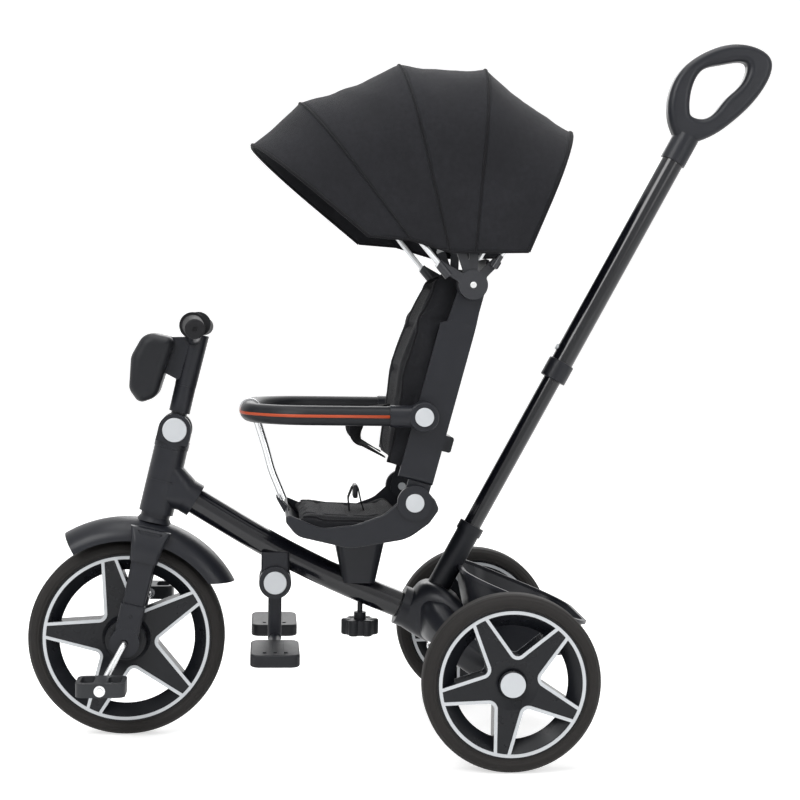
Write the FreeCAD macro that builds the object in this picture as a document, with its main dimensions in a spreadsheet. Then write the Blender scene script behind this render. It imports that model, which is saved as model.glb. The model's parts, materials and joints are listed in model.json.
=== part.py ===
"""A children's tricycle with a canopy, a reclining seat, folding bars and a telescopic push handle.

Millimetres. +Z is up, the front wheel points along -Y and +X is the rider's left. The origin is on the
ground at the middle of the bounding box. Every outline is measured from the axle, pivot or axis that
carries its piece, so a changed size moves what hangs on it.
"""
import FreeCAD, Part
import math
import os
import re

import Sketcher

doc = FreeCAD.newDocument("tricycle")
Vector = FreeCAD.Vector
NODES = []

# ---------------------------------------------------------------------------------------------------
# Driving dimensions
# ---------------------------------------------------------------------------------------------------
SIZES = {
    # wheels and stance
    "front_wheel_radius": 145, "rear_wheel_radius": 124.5, "wheelbase": 545, "overall_width": 500,
    "tyre_width": 44, "tyre_height": 20, "rim_half_width": 16, "rim_lip": 8, "rim_waist": 25,
    "trim_width": 4.6, "trim_height": 1.4, "trim_inset": 2.5, "arm_tip_width": 22, "apex_share": 0.345,
    "apex_round": 8, "axle_radius": 5, "front_hub_radius": 30, "front_hub_half": 34, "hub_radius": 19,
    "hub_dish": 6, "hub_dish_radius": 36, "hub_cap_radius": 17.4, "running_gap": 0.05, "gap": 0.3,
    # steering
    "head_tilt": 12.5, "head_radius": 25.5, "head_rise": 45.6, "head_length": 99.1, "steerer_radius": 11,
    "bush_wall": 3.5, "bush_length": 14, "fork_inside": 37, "leg_thickness": 16, "leg_width": 34,
    "crown_gap": 7, "crown_depth": 14, "cover_height": 57, "cover_wall": 2.5, "cover_radius": 21.5,
    "fender_gap": 35, "fender_lip_gap": 3, "fender_half_width": 42, "fender_wall": 2.5,
    "fender_front_angle": 120.7, "fender_rear_angle": 25, "fender_cut_drop": 85, "neck_radius": 21.5,
    "neck_flare": 33, "sleeve_drop": 31,
    # crank and pedals
    "rod_radius": 4.5, "crank_radius": 58, "crank_angle": 28, "rod_bend": 9, "crank_out": 63,
    "spindle_in": 76, "spindle_out": 147, "pedal_length": 70, "pedal_width": 58, "pedal_height": 20,
    "pedal_middle": 113,
    # stem and handlebar
    "hinge_rise": 173, "knuckle_half_width": 26, "knuckle_radius": 24, "tongue_half_width": 12.7,
    "tongue_radius": 16, "knuckle_pin_radius": 5, "button_radius": 18, "button_depth": 4.5,
    "button_proud": 2.5, "button_travel": 3, "stem_radius": 15.5, "stem_length": 66, "stem_start": 26,
    "bar_radius": 11, "bar_rise": 331, "bar_middle_rise": 310, "bar_step": 48, "bar_flat": 90,
    "bar_half_length": 188, "grip_radius": 15, "flange_radius": 19, "flange_width": 6,
    "pod_half_width": 42, "pod_ahead": 54, "pod_rise": 255,
    # main tube and rear body
    "tube_radius": 20, "tube_wall": 2, "tube_mount_rise": 93, "socket_radius": 25.5, "socket_reach": 56,
    "tube_inset": 32, "tube_bend_ahead": 285, "tube_bend_rise": 127.5, "tube_end_ahead": 100,
    "tube_end_rise": 53.5, "tube_bend_radius": 1500, "collar_radius": 30, "collar_ahead": 139,
    "axle_tube_radius": 9, "wheel_gap": 10, "basket_wall": 3, "basket_half_width": 112,
    "basket_front": 50, "basket_length": 180, "basket_front_rise": 126, "basket_rear_rise": 53,
    # push handle
    "handle_foot_ahead": 70, "handle_foot_rise": 115.5, "handle_lean": 61.9, "handle_length": 753.7,
    "ferrule_radius": 17.5, "ferrule_length": 85, "lower_radius": 13.5, "upper_radius": 17,
    "collar_at": 338, "tube_overlap": 120, "loop_reach": 125, "loop_half_width": 15, "handle_wall": 2,
    # footrest
    "footrest_ahead": 326, "footrest_gap": 26.5, "footrest_hinge_radius": 24, "footrest_half_width": 30,
    "footrest_leg_length": 88, "footrest_leg_half": 10, "pad_inside": 58, "pad_outside": 176,
    "pad_length": 70, "pad_height": 18, "pad_round": 14, "pin_radius": 5, "cap_radius": 17,
    # seat
    "pivot_ahead": 128.4, "pivot_rise": 236.5, "seat_half_width": 120, "seat_wall": 4,
    "back_angle": 14.6, "back_depth": 18, "back_front": 33, "back_wall": 5, "back_height": 368,
    "pivot_boss_radius": 25, "seat_pin_radius": 6, "seat_cap_radius": 13.4, "arm_rise": 123.3,
    "arm_ahead": 22.4, "arm_hub_radius": 21, "safety_radius": 14, "safety_reach": 247,
    "safety_bend": 85, "ferrule_wall": 1.6, "strut_radius": 6, "latch_rise": 77, "latch_height": 24,
         "latch_proud": 24,
    "latch_half_width": 28, "knob_ahead": 69.6, "knob_radius": 23, "knob_height": 22, "knob_gap": 26,
    "bolt_radius": 4,
    # canopy
    "hub_rise": 322.4, "hub_ahead": 4, "canopy_hub_radius": 22, "bow_radius": 4, "arm_layer": 3.5,
    "layer_gap": 0.4, "bow_bend": 115, "canopy_skin": 1.6, "skin_offset": 7, "arm_thick": 7.5,
}

# Sizes that follow from the driving ones.
DERIVED = {
    "handle_reach": "handle_length * cos(handle_lean) - handle_foot_ahead + loop_reach",
    "front_axle_y": "(front_wheel_radius - wheelbase - handle_reach) / 2",
    "rear_axle_y": "front_axle_y + wheelbase",
    "rear_track_half": "overall_width / 2 - tyre_width / 2",
    "head_bottom": "front_wheel_radius + head_rise",
    "head_top": "head_bottom + head_length",
    "bush_radius": "steerer_radius + bush_wall",
    "crown_bottom": "front_wheel_radius + crown_gap",
    "crown_top": "crown_bottom + crown_depth",
    "leg_middle": "fork_inside + leg_thickness / 2",
    "hinge_height": "front_wheel_radius + hinge_rise",
    "stem_top": "hinge_height + stem_length",
    "body_half": "rear_track_half - tyre_width / 2 - wheel_gap",
    "pivot_y": "rear_axle_y - pivot_ahead",
    "pivot_z": "rear_wheel_radius + pivot_rise",
    "back_half_width": "seat_half_width + 1",
    "safety_x": "back_half_width + gap + ferrule_wall + safety_radius",
    "hub_layer": "back_half_width - 3",
    "bow_x": "hub_layer + 4 * layer_gap + 3 * arm_layer + arm_thick / 2",
}

sheet = doc.addObject("Spreadsheet::Sheet", "sizes")
for row, (name, size) in enumerate(SIZES.items(), start=1):
    sheet.set(f"A{row}", name)
    sheet.set(f"B{row}", str(size))
    sheet.setAlias(f"B{row}", name)
doc.recompute()


def bind(text):
    """An expression on the sheet, from a text that names sizes by their plain words."""
    def word(match):
        name = match.group(0)
        if name in DERIVED:
            return "(" + bind(DERIVED[name]) + ")"
        return "sizes." + name if name in SIZES else name
    return re.sub(r"[a-z_]+[a-z0-9_]*", word, str(text))


def value(text):
    return float(sheet.evalExpression(bind(text)))


# ---------------------------------------------------------------------------------------------------
# Building helpers
# ---------------------------------------------------------------------------------------------------
def place(obj, x="0", y="0", z="0", turn="0"):
    """Put an object at a point, turned about X by an angle in degrees, all bound to the sheet."""
    point = Vector(value(x), value(y), value(z))
    angle = value(turn)
    obj.Placement = FreeCAD.Placement(point, FreeCAD.Rotation(Vector(1, 0, 0), angle))
    for axis, text in (("x", x), ("y", y), ("z", z)):
        obj.setExpression(f".Placement.Base.{axis}", bind(text))
    if angle:
        obj.setExpression(".Placement.Rotation.Angle", bind(turn))
    return obj


def at_front_axle(obj, turn="0"):
    return place(obj, "0", "front_axle_y", "front_wheel_radius", turn)


def at_steering(obj):
    """The steering frame: origin on the front axle, Z up the head axis, Y square to it and rearward."""
    return at_front_axle(obj, "-head_tilt")


def at_pivot(obj, turn="0"):
    return place(obj, "0", "pivot_y", "pivot_z", turn)


def at_backrest(obj):
    """The backrest frame: origin on the recline pivot, Z up the back, Y square to it and rearward."""
    return at_pivot(obj, "-back_angle")


def new_body(name):
    body = doc.addObject("PartDesign::Body", name)
    body.Label = name
    NODES.append(body)
    return body


def new_sketch(body, plane, offset):
    sketch = body.newObject("Sketcher::SketchObject", body.Name + "_sketch")
    support = [item for item in body.Origin.OriginFeatures if item.Role == plane][0]
    sketch.AttachmentSupport = [(support, "")]
    sketch.MapMode = "FlatFace"
    sketch.AttachmentOffset = FreeCAD.Placement(Vector(0, 0, value(offset)), FreeCAD.Rotation())
    sketch.setExpression(".AttachmentOffset.Base.z", bind(offset))
    return sketch


def pin_point(sketch, geometry, point, x, y):
    """Tie a sketch point to its two sizes."""
    for kind, text in (("DistanceX", x), ("DistanceY", y)):
        constraint = Sketcher.Constraint(kind, -1, 1, geometry, point, value(text))
        index = sketch.addConstraint(constraint)
        sketch.setExpression(f"Constraints[{index}]", bind(text))


def polygon(body, plane, corners, offset="0"):
    """A closed outline of straight edges through the corners, each corner a pair of sizes."""
    sketch = new_sketch(body, plane, offset)
    points = [Vector(value(x), value(y), 0) for x, y in corners]
    count = len(points)
    for index in range(count):
        sketch.addGeometry(Part.LineSegment(points[index], points[(index + 1) % count]), False)
    for index in range(count):
        sketch.addConstraint(Sketcher.Constraint("Coincident", index, 2, (index + 1) % count, 1))
    for index, (x, y) in enumerate(corners):
        pin_point(sketch, index, 1, x, y)
    return sketch


def rings(body, plane, circles, offset="0"):
    """Circles given as middle and radius; a circle inside another is a hole."""
    sketch = new_sketch(body, plane, offset)
    for index, (x, y, radius) in enumerate(circles):
        sketch.addGeometry(Part.Circle(Vector(value(x), value(y), 0), Vector(0, 0, 1), value(radius)))
        pin_point(sketch, index, 3, x, y)
        number = sketch.addConstraint(Sketcher.Constraint("Radius", index, value(radius)))
        sketch.setExpression(f"Constraints[{number}]", bind(radius))
    return sketch


def extrude(body, kind, sketch, length, middle, reverse):
    feature = body.newObject(kind, body.Name + "_feature")
    feature.Profile = sketch
    feature.Length = value(length)
    feature.setExpression("Length", bind(length))
    feature.Midplane = middle
    feature.Reversed = reverse
    doc.recompute()
    return feature


def pad(body, sketch, length, middle=False, reverse=False):
    return extrude(body, "PartDesign::Pad", sketch, length, middle, reverse)


def pocket(body, sketch, length, middle=False, reverse=False):
    before = body.Shape.Volume
    feature = extrude(body, "PartDesign::Pocket", sketch, length, middle, reverse)
    if feature.Shape.Volume >= before:
        raise RuntimeError(f"{body.Name}: a pocket cuts nothing")
    return feature


def turned(body, sketch, kind="PartDesign::Revolution"):
    """Spin a profile about the sketch's own horizontal axis."""
    feature = body.newObject(kind, body.Name + "_turned")
    feature.Profile = sketch
    feature.ReferenceAxis = (sketch, ["H_Axis"])
    feature.Angle = 360
    doc.recompute()
    return feature


def repeat_about_x(body, feature, count):
    pattern = body.newObject("PartDesign::PolarPattern", body.Name + "_pattern")
    pattern.Originals = [feature]
    axis = [item for item in body.Origin.OriginFeatures if item.Role == "X_Axis"][0]
    pattern.Axis = (axis, [""])
    pattern.Angle = 360
    pattern.Occurrences = count
    body.Tip = pattern
    doc.recompute()
    return pattern


def soften(body, radius, chosen, kind="PartDesign::Fillet"):
    """Round the edges of the last feature that the test picks."""
    base = body.Tip
    names = [f"Edge{number}" for number, edge in enumerate(base.Shape.Edges, 1) if chosen(edge)]
    feature = body.newObject(kind, body.Name + "_soft")
    feature.Base = (base, names)
    size = "Radius" if kind.endswith("Fillet") else "Size"
    setattr(feature, size, value(radius))
    feature.setExpression(size, bind(radius))
    doc.recompute()
    return feature


def runs_along(axis):
    """Picks straight edges parallel to one axis of the body."""
    direction = Vector(axis == "x", axis == "y", axis == "z")

    def chosen(edge):
        if edge.Curve.TypeId != "Part::GeomLine":
            return False
        return abs(edge.tangentAt(edge.FirstParameter).dot(direction)) > 0.999
    return chosen


def in_face_across_x(edge):
    """Picks edges that lie in one plane square to X."""
    return edge.BoundBox.XLength < 1e-6


def new_feature(name, shape):
    """A node whose shape comes straight from Part's functions."""
    feature = doc.addObject("Part::Feature", name)
    feature.Label = name
    feature.Shape = shape
    NODES.append(feature)
    return feature


def rounded_path(corners, bends):
    """Straight runs joined by tangent arcs, one radius for each inner corner."""
    edges = []
    start = corners[0]
    for before, corner, after, radius in zip(corners, corners[1:], corners[2:], bends):
        back = (before - corner).normalize()
        ahead = (after - corner).normalize()
        half = back.getAngle(ahead) / 2
        first = corner + back * (radius / math.tan(half))
        last = corner + ahead * (radius / math.tan(half))
        middle = corner + (back + ahead).normalize() * (radius / math.sin(half) - radius)
        edges.append(Part.makeLine(start, first))
        edges.append(Part.Arc(first, middle, last).toShape())
        start = last
    edges.append(Part.makeLine(start, corners[-1]))
    return Part.Wire(edges)


def rounded_outline(corners, bends):
    """A closed outline with an arc of its own radius at every corner."""
    middle = (corners[0] + corners[-1]) * 0.5
    return rounded_path([middle] + corners + [middle], bends)


def sweep(path, radius):
    start = path.Edges[0]
    first = start.valueAt(start.FirstParameter)
    circle = Part.makeCircle(radius, first, start.tangentAt(start.FirstParameter))
    return path.makePipeShell([Part.Wire([circle])], True, False)


def tube(path, radius, bore):
    return sweep(path, radius).cut(sweep(path, bore))


def slab(corners, bends, half_width, middle_x=0):
    """A plate square to X, from its outline in Y and Z."""
    points = [Vector(middle_x - half_width, y, z) for y, z in corners]
    face = Part.Face(rounded_outline(points, bends))
    return face.extrude(Vector(2 * half_width, 0, 0))


def section(middle, sideways, upward, half_side, half_up, bend):
    """A rounded rectangle about a point, spanned by two directions."""
    corners = []
    for side, up in ((-1, -1), (1, -1), (1, 1), (-1, 1)):
        corners.append(middle + sideways * (side * half_side) + upward * (up * half_up))
    return rounded_outline(corners, [bend] * 4)


def rod(radius, length, start, direction):
    return Part.makeCylinder(radius, length, start, direction)


X = Vector(1, 0, 0)
Y = Vector(0, 1, 0)
Z = Vector(0, 0, 1)


# ---------------------------------------------------------------------------------------------------
# Wheels. Each is built about its own X axis with one opening along +Y, then turned to its phase.
# ---------------------------------------------------------------------------------------------------
def tyre(name, radius, x, y, phase):
    body = new_body(name)
    seat = f"({radius} - tyre_height)"
    half = "tyre_width / 2"
    side = [("rim_half_width", seat), (f"{half} - 2", f"{seat} + 2.5"), (half, f"{seat} + 8"),
            (f"{half} - 2", f"{radius} - 6"), (f"{half} - 7.5", f"{radius} - 1.5"), (f"{half} - 13", radius)]
    mirrored = [(f"-({a})", r) for a, r in reversed(side)]
    turned(body, polygon(body, "XZ_Plane", side + mirrored))
    soften(body, "3", lambda edge: edge.BoundBox.ZLength > 2 * value(seat) + 10)
    return place(body, x, y, radius, phase)


def opening_corners(radius):
    """The kite that one opening cuts: apex near the hub, sides along the arms, tip past the rim."""
    seat = value(radius) - value("tyre_height")
    half_angle = math.radians(36) - math.asin(value("arm_tip_width") / 2 / seat)
    apex = value("apex_share") * seat
    side = Vector(0, seat * math.cos(half_angle), seat * math.sin(half_angle))
    far = seat / math.cos(half_angle)
    return [Vector(0, apex, 0), side, Vector(0, far, 0), Vector(0, side.y, -side.z)]


def rim(name, radius, hub_radius, hub_half, x, y, phase):
    body = new_body(name)
    seat = f"({radius} - tyre_height)"
    edge = f"({seat} - 4)"
    spread = f"(36 - asin(arm_tip_width / 2 / {seat}) / 1 deg)"
    dished = [("-rim_half_width", "hub_dish_radius"), ("hub_dish - rim_half_width", "axle_radius + 2"),
              ("rim_half_width - hub_dish", "axle_radius + 2"), ("rim_half_width", "hub_dish_radius"),
              ("rim_half_width", edge), ("-rim_half_width", edge)]
    turned(body, polygon(body, "XZ_Plane", dished))
    kite = [(f"apex_share * {seat}", "0"), (f"{seat} * cos({spread})", f"{seat} * sin({spread})"),
            (f"{seat} / cos({spread})", "0"), (f"{seat} * cos({spread})", f"-{seat} * sin({spread})")]
    cut = pocket(body, polygon(body, "YZ_Plane", kite), "4 * rim_half_width", middle=True)
    repeat_about_x(body, cut, 5)
    apex = value(f"apex_share * {seat}")

    def at_apex(item):
        point = item.CenterOfMass
        return runs_along("x")(item) and abs(math.hypot(point.y, point.z) - apex) < 0.5
    soften(body, "apex_round", at_apex)
    barrel = [("-rim_half_width", seat), ("rim_half_width", seat), ("rim_half_width", f"{seat} - rim_lip"),
              ("0", f"{seat} - rim_waist"), ("-rim_half_width", f"{seat} - rim_lip")]
    turned(body, polygon(body, "XZ_Plane", barrel))
    bore = "axle_radius + running_gap"
    hub = [(f"-{hub_half}", bore), (hub_half, bore), (hub_half, f"{hub_radius} - 2"),
           (f"{hub_half} - 2", hub_radius), (f"2 - {hub_half}", hub_radius),
           (f"-{hub_half}", f"{hub_radius} - 2")]
    turned(body, polygon(body, "XZ_Plane", hub))
    return place(body, x, y, radius, phase)


def trim_side(radius, face, outward):
    """The raised silver line on one face: a ring and five rounded V shapes that meet it."""
    seat = value(radius) - value("tyre_height")
    height = Vector(outward * value("trim_height"), 0, 0)
    outer = seat - value("trim_inset")
    width = value("trim_width")
    start = Vector(face, 0, 0)
    ring = rod(outer, value("trim_height"), start, X * outward)
    ring = ring.cut(rod(outer - width, value("trim_height"), start, X * outward))
    within = rod(outer - width / 2, value("trim_height"), start, X * outward)
    corners = [corner + start for corner in opening_corners(radius)]
    outline = rounded_outline(corners, [value("apex_round"), 0.5, 0.5, 0.5])
    hole = Part.Face(outline)
    band = hole.makeOffset2D(width).cut(hole).extrude(height).common(within)
    for number in range(5):
        turned_band = band.copy()
        turned_band.rotate(Vector(0, 0, 0), X, 72 * number)
        ring = ring.fuse(turned_band)
    return ring.removeSplitter()


def rim_trim(name, radius, x, y, phase, cap=0):
    face = value("rim_half_width")
    solids = [trim_side(radius, face, 1), trim_side(radius, -face, -1)]
    if cap:
        hub_end = value("tyre_width / 2 - 2.5")
        solids.append(rod(value("hub_cap_radius"), 2, Vector(cap * hub_end, 0, 0), X * cap))
    return place(new_feature(name, Part.makeCompound(solids)), x, y, radius, phase)


def front_wheel():
    phase = "66.6"
    tyre("front_tyre", "front_wheel_radius", "0", "front_axle_y", phase)
    rim("front_rim", "front_wheel_radius", "front_hub_radius", "front_hub_half", "0", "front_axle_y", phase)
    rim_trim("front_rim_trim", "front_wheel_radius", "0", "front_axle_y", phase)


def rear_wheel(side, sign):
    phase = "82.3"
    x = f"{sign} * rear_track_half"
    tyre(f"rear_tyre_{side}", "rear_wheel_radius", x, "rear_axle_y", phase)
    hub_half = "(tyre_width / 2 - 2.5)"
    rim(f"rear_rim_{side}", "rear_wheel_radius", "hub_radius", hub_half, x, "rear_axle_y", phase)
    rim_trim(f"rear_rim_trim_{side}", "rear_wheel_radius", x, "rear_axle_y", phase, cap=sign)


# ---------------------------------------------------------------------------------------------------
# Steering: fork, fender, knuckle
# ---------------------------------------------------------------------------------------------------
def fork_shape(extra=0):
    """Crown, two legs with axle ends and the steerer, grown by a clearance where a piece wraps it."""
    bottom, top = value("crown_bottom"), value("crown_top")
    half_x = value("leg_thickness / 2") + extra
    half_y = value("leg_width / 2") + extra
    reach = value("fork_inside + leg_thickness") + extra
    crown = section(Vector(0, 0, bottom - extra), X, Y, reach, half_y + 2, 7)
    shape = Part.Face(crown).extrude(Vector(0, 0, top - bottom + 2 * extra))
    for sign in (-1, 1):
        middle = sign * value("leg_middle")
        low = section(Vector(middle, 0, 0), X, Y, half_x, half_y - 2, 5)
        high = section(Vector(middle, 0, bottom + 2), X, Y, half_x, half_y + 1, 5)
        shape = shape.fuse(Part.makeLoft([low, high], True, True))
        end = Vector(middle - half_x, 0, 0)
        shape = shape.fuse(rod(value("leg_width / 2") + extra, 2 * half_x, end, X))
    steerer = rod(value("steerer_radius") + extra, value("hinge_height - tongue_radius") - top - 3,
                  Vector(0, 0, top), Z)
    return shape.fuse(steerer)


def front_fork():
    reach = value("fork_inside + leg_thickness")
    hole = rod(value("rod_radius + running_gap"), 2 * reach + 2, Vector(-reach - 1, 0, 0), X)
    at_steering(new_feature("front_fork", fork_shape().cut(hole).removeSplitter()))


def fork_covers():
    """The moulded cover round the foot of each leg."""
    wall = value("cover_wall")
    half_x = value("leg_thickness / 2") + wall
    half_y = value("leg_width / 2") + wall
    solids = []
    for sign in (-1, 1):
        middle = sign * (value("leg_middle") + 0.8 * wall)
        low = section(Vector(middle, 0, 4), X, Y, half_x, half_y - 2, 6)
        high = section(Vector(middle, 0, value("cover_height")), X, Y, half_x - 1, half_y - 1.5, 6)
        cover = Part.makeLoft([low, high], True, True)
        cover = cover.fuse(rod(value("cover_radius"), 2 * half_x, Vector(middle - half_x, 0, 0), X))
        cover = cover.cut(fork_shape(0.02))
        inner = Part.makeBox(value("fork_inside") + 0.3, 80, 120, Vector(0, -40, -40))
        if sign < 0:
            inner.translate(Vector(-value("fork_inside") - 0.3, 0, 0))
        cover = cover.cut(inner)
        cover = cover.cut(rod(value("rod_radius + 1"), 80, Vector(sign * 30, 0, 0), X * sign))
        solids.append(max(cover.Solids, key=lambda solid: solid.Volume))
    at_steering(new_feature("fork_covers", Part.makeCompound(solids)))


def fender_arch(half_width, lip, height):
    """Half an ellipse over the tyre, closed along its lip."""
    ellipse = Part.Ellipse(Vector(0, lip, 0), half_width, height)
    arc = Part.ArcOfEllipse(ellipse, 0, math.pi).toShape()
    chord = Part.makeLine(Vector(-half_width, lip, 0), Vector(half_width, lip, 0))
    return Part.Face(Part.Wire([arc, chord]))


def front_fender():
    wall = value("fender_wall")
    half_width = value("fender_half_width")
    lip = value("front_wheel_radius + fender_lip_gap")
    height = value("fender_gap - fender_lip_gap")
    arch = fender_arch(half_width, lip, height).cut(fender_arch(half_width - wall, lip, height - wall))
    start, end = value("fender_rear_angle"), value("fender_front_angle")
    arch.rotate(Vector(0, 0, 0), X, start)
    shell = arch.revolve(Vector(0, 0, 0), X, end - start)
    cut = Part.makeBox(200, 200, 200, Vector(-100, 60, value("fender_cut_drop") - 200))
    shell = shell.cut(cut)
    shell.rotate(Vector(0, 0, 0), X, value("head_tilt"))
    top = value("front_wheel_radius + fender_gap")
    neck_top = value("head_bottom") - 0.4
    flare = value("neck_flare")
    neck = Part.makeCone(flare, value("neck_radius"), neck_top - top + 8, Vector(0, 0, top - 14), Z)
    neck = neck.fuse(rod(value("neck_radius"), neck_top - top + 7, Vector(0, 0, top - 7), Z))
    inside = rod(value("front_wheel_radius + fender_gap") - wall, 200, Vector(-100, 0, 0), X)
    shell = shell.fuse(neck.cut(inside))
    for sign in (-1, 1):
        middle = sign * (value("leg_middle") + 0.6)
        low = section(Vector(middle, 0, value("crown_bottom - sleeve_drop")), X, Y, 11, 20.5, 7)
        mid = section(Vector(middle, 0, value("crown_bottom")), X, Y, 12, 25, 8)
        high = section(Vector(middle - sign * 6, 0, value("crown_top") + 3.5), X, Y, 7, 30, 5)
        shell = shell.fuse(Part.makeLoft([low, mid, high], True, False))
    shell = shell.cut(fork_shape(0.2))
    wheel_space = rod(value("front_wheel_radius + fender_lip_gap"), 70, Vector(-35, 0, 0), X)
    shell = shell.cut(wheel_space)
    largest = max(shell.Solids, key=lambda solid: solid.Volume)
    at_steering(new_feature("front_fender", largest))


def stem_knuckle():
    """The clevis on the steerer, with its hinge pin, that the folding stem turns in."""
    body = new_body("stem_knuckle")
    base = "head_top + gap"
    pad(body, rings(body, "XY_Plane", [("0", "0", "head_radius")], base), "hinge_height - head_top - 13")
    pad(body, rings(body, "YZ_Plane", [("0", "hinge_height", "knuckle_radius")]), "2 * knuckle_half_width",
        middle=True)
    cheek = [("-knuckle_radius", "head_top + 8"), ("knuckle_radius", "head_top + 8"),
             ("knuckle_radius", "hinge_height"), ("-knuckle_radius", "hinge_height")]
    pad(body, polygon(body, "YZ_Plane", cheek), "2 * knuckle_half_width", middle=True)
    low = "hinge_height - tongue_radius - 0.5"
    high = "hinge_height + knuckle_radius + 1"
    slot = [("-knuckle_radius - 9", low), ("knuckle_radius + 9", low), ("knuckle_radius + 9", high),
            ("-knuckle_radius - 9", high)]
    pocket(body, polygon(body, "YZ_Plane", slot), "2 * (tongue_half_width + gap)", middle=True)
    for sign in (-1, 1):
        face = f"{sign} * (knuckle_half_width + button_proud - button_depth - button_travel - 0.5)"
        ring = rings(body, "YZ_Plane", [("0", "hinge_height", "button_radius + gap")], face)
        pocket(body, ring, "20", reverse=sign > 0)
    pad(body, rings(body, "YZ_Plane", [("0", "hinge_height", "knuckle_pin_radius")]),
        "2 * (tongue_half_width + 2)", middle=True)
    seat = rings(body, "XY_Plane", [("0", "0", "steerer_radius")], "head_top - 5")
    pocket(body, seat, "hinge_height - tongue_radius - head_top + 2", reverse=True)
    return at_steering(body)


def stem_buttons():
    for side, sign in (("left", 1), ("right", -1)):
        body = new_body(f"stem_button_{side}")
        face = f"{sign} * (knuckle_half_width + button_proud - button_depth)"
        ring = rings(body, "YZ_Plane", [("0", "hinge_height", "button_radius")], face)
        pad(body, ring, "button_depth", reverse=sign < 0)
        outside = value(f"{sign} * (knuckle_half_width + button_proud)")
        soften(body, "1.5", lambda edge: abs(edge.BoundBox.XMax - outside) + edge.BoundBox.XLength < 0.01)
        at_steering(body)


def stem_tube():
    """The folding stem: hinge tongue below, round tube above."""
    body = new_body("stem_tube")
    pad(body, rings(body, "YZ_Plane", [("0", "hinge_height", "tongue_radius")]), "2 * tongue_half_width",
        middle=True)
    pad(body, rings(body, "XY_Plane", [("0", "0", "tongue_half_width - 1")], "hinge_height"),
        "stem_start + 2")
    pad(body, rings(body, "XY_Plane", [("0", "0", "stem_radius")], "hinge_height + stem_start"),
        "stem_length - stem_start")
    eye = rings(body, "YZ_Plane", [("0", "hinge_height", "knuckle_pin_radius + running_gap")])
    pocket(body, eye, "4 * tongue_half_width", middle=True)
    return at_steering(body)


def handlebar_path():
    height, middle = value("front_wheel_radius + bar_rise"), value("front_wheel_radius + bar_middle_rise")
    right = [Vector(value("bar_half_length"), 1.5, height - 3), Vector(value("bar_flat"), -7, height),
             Vector(value("bar_step"), -5, middle + 5)]
    left = [Vector(-point.x, point.y, point.z) for point in reversed(right)]
    return rounded_path(right + [Vector(0, -3, middle)] + left, [40, 30, 60, 30, 40])


def pod_shape():
    y, z = -value("pod_ahead"), value("front_wheel_radius + pod_rise")
    outline = [(y + 26, z + 50), (y - 20, z + 50), (y - 32, z + 10), (y - 24, z - 38), (y - 5, z - 55),
               (y + 18, z - 40)]
    shape = slab(outline, [10, 22, 30, 18, 12, 20], value("pod_half_width"))
    return shape.makeFillet(14, [edge for edge in shape.Edges if in_face_across_x(edge)])


def handlebar():
    """The moulded T: a socket over the stem, the bar through it and the bracket that holds the pod."""
    low = value("stem_top") + 0.2
    middle = value("front_wheel_radius + bar_middle_rise")
    sleeve = Part.makeCone(value("stem_radius") + 0.3, value("stem_radius") + 2, middle - low + 8,
                           Vector(0, 0, low), Z)
    shape = sleeve.fuse(sweep(handlebar_path(), value("bar_radius")))
    bracket = slab([(-40, low + 14), (-10, low + 6), (-8, middle + 2), (-40, middle - 6)], [4] * 4,
                   15).cut(pod_shape())
    bracket = max(bracket.Solids, key=lambda solid: solid.CenterOfMass.y)
    at_steering(new_feature("handlebar", shape.fuse(bracket).removeSplitter()))


def handlebar_grips():
    """Both soft grips, each with a flange at its inner end, on the ends of the bar."""
    path = handlebar_path()
    solids = []
    for edge, sign in ((path.Edges[0], 1), (path.Edges[-1], -1)):
        ends = sorted((edge.valueAt(edge.FirstParameter), edge.valueAt(edge.LastParameter)),
                      key=lambda p: abs(p.x))
        along = (ends[1] - ends[0]).normalize()
        start = ends[0] + along * 4
        length = (ends[1] - start).Length + 3
        grip = Part.makeCone(value("grip_radius") + 0.5, value("grip_radius") - 1, length, start, along)
        grip = grip.makeFillet(3,
                               [item for item in grip.Edges if abs(item.CenterOfMass.x) > abs(ends[1].x)
                                and item.Closed])
        grip = grip.fuse(rod(value("flange_radius"), value("flange_width"), start, along))
        grip = grip.cut(rod(value("bar_radius") + 0.01, length - 3, start, along))
        grip = grip.cut(rod(3.5, 3, ends[1] + along * 1, along))
        solids.append(max(grip.Solids, key=lambda solid: solid.Volume))
    at_steering(new_feature("handlebar_grips", Part.makeCompound(solids)))


def front_pod():
    """The rounded pod ahead of the stem."""
    at_steering(new_feature("front_pod", pod_shape()))


# ---------------------------------------------------------------------------------------------------
# Crank and pedals
# ---------------------------------------------------------------------------------------------------
def crank_offset(sign):
    angle = math.radians(value("crank_angle"))
    reach = -sign * value("crank_radius")
    return Vector(0, reach * math.sin(angle), reach * math.cos(angle))


def crank_rod():
    out, inside, end = value("crank_out"), value("spindle_in"), value("spindle_out")
    corners = [X * end + crank_offset(1), X * inside + crank_offset(1), X * out, X * -out,
               X * -inside + crank_offset(-1), X * -end + crank_offset(-1)]
    shape = sweep(rounded_path(corners, [value("rod_bend")] * 4), value("rod_radius"))
    for sign in (-1, 1):
        for place_x, length in ((value("pedal_middle + pedal_width / 2") + 0.3, 2.5),
                                (value("pedal_middle - pedal_width / 2") - 2.8, 2.5)):
            start = X * (sign * place_x) + crank_offset(sign)
            shape = shape.fuse(rod(value("rod_radius") + 3.5, length, start, X * sign))
    at_front_axle(new_feature("crank_rod", shape))


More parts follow.
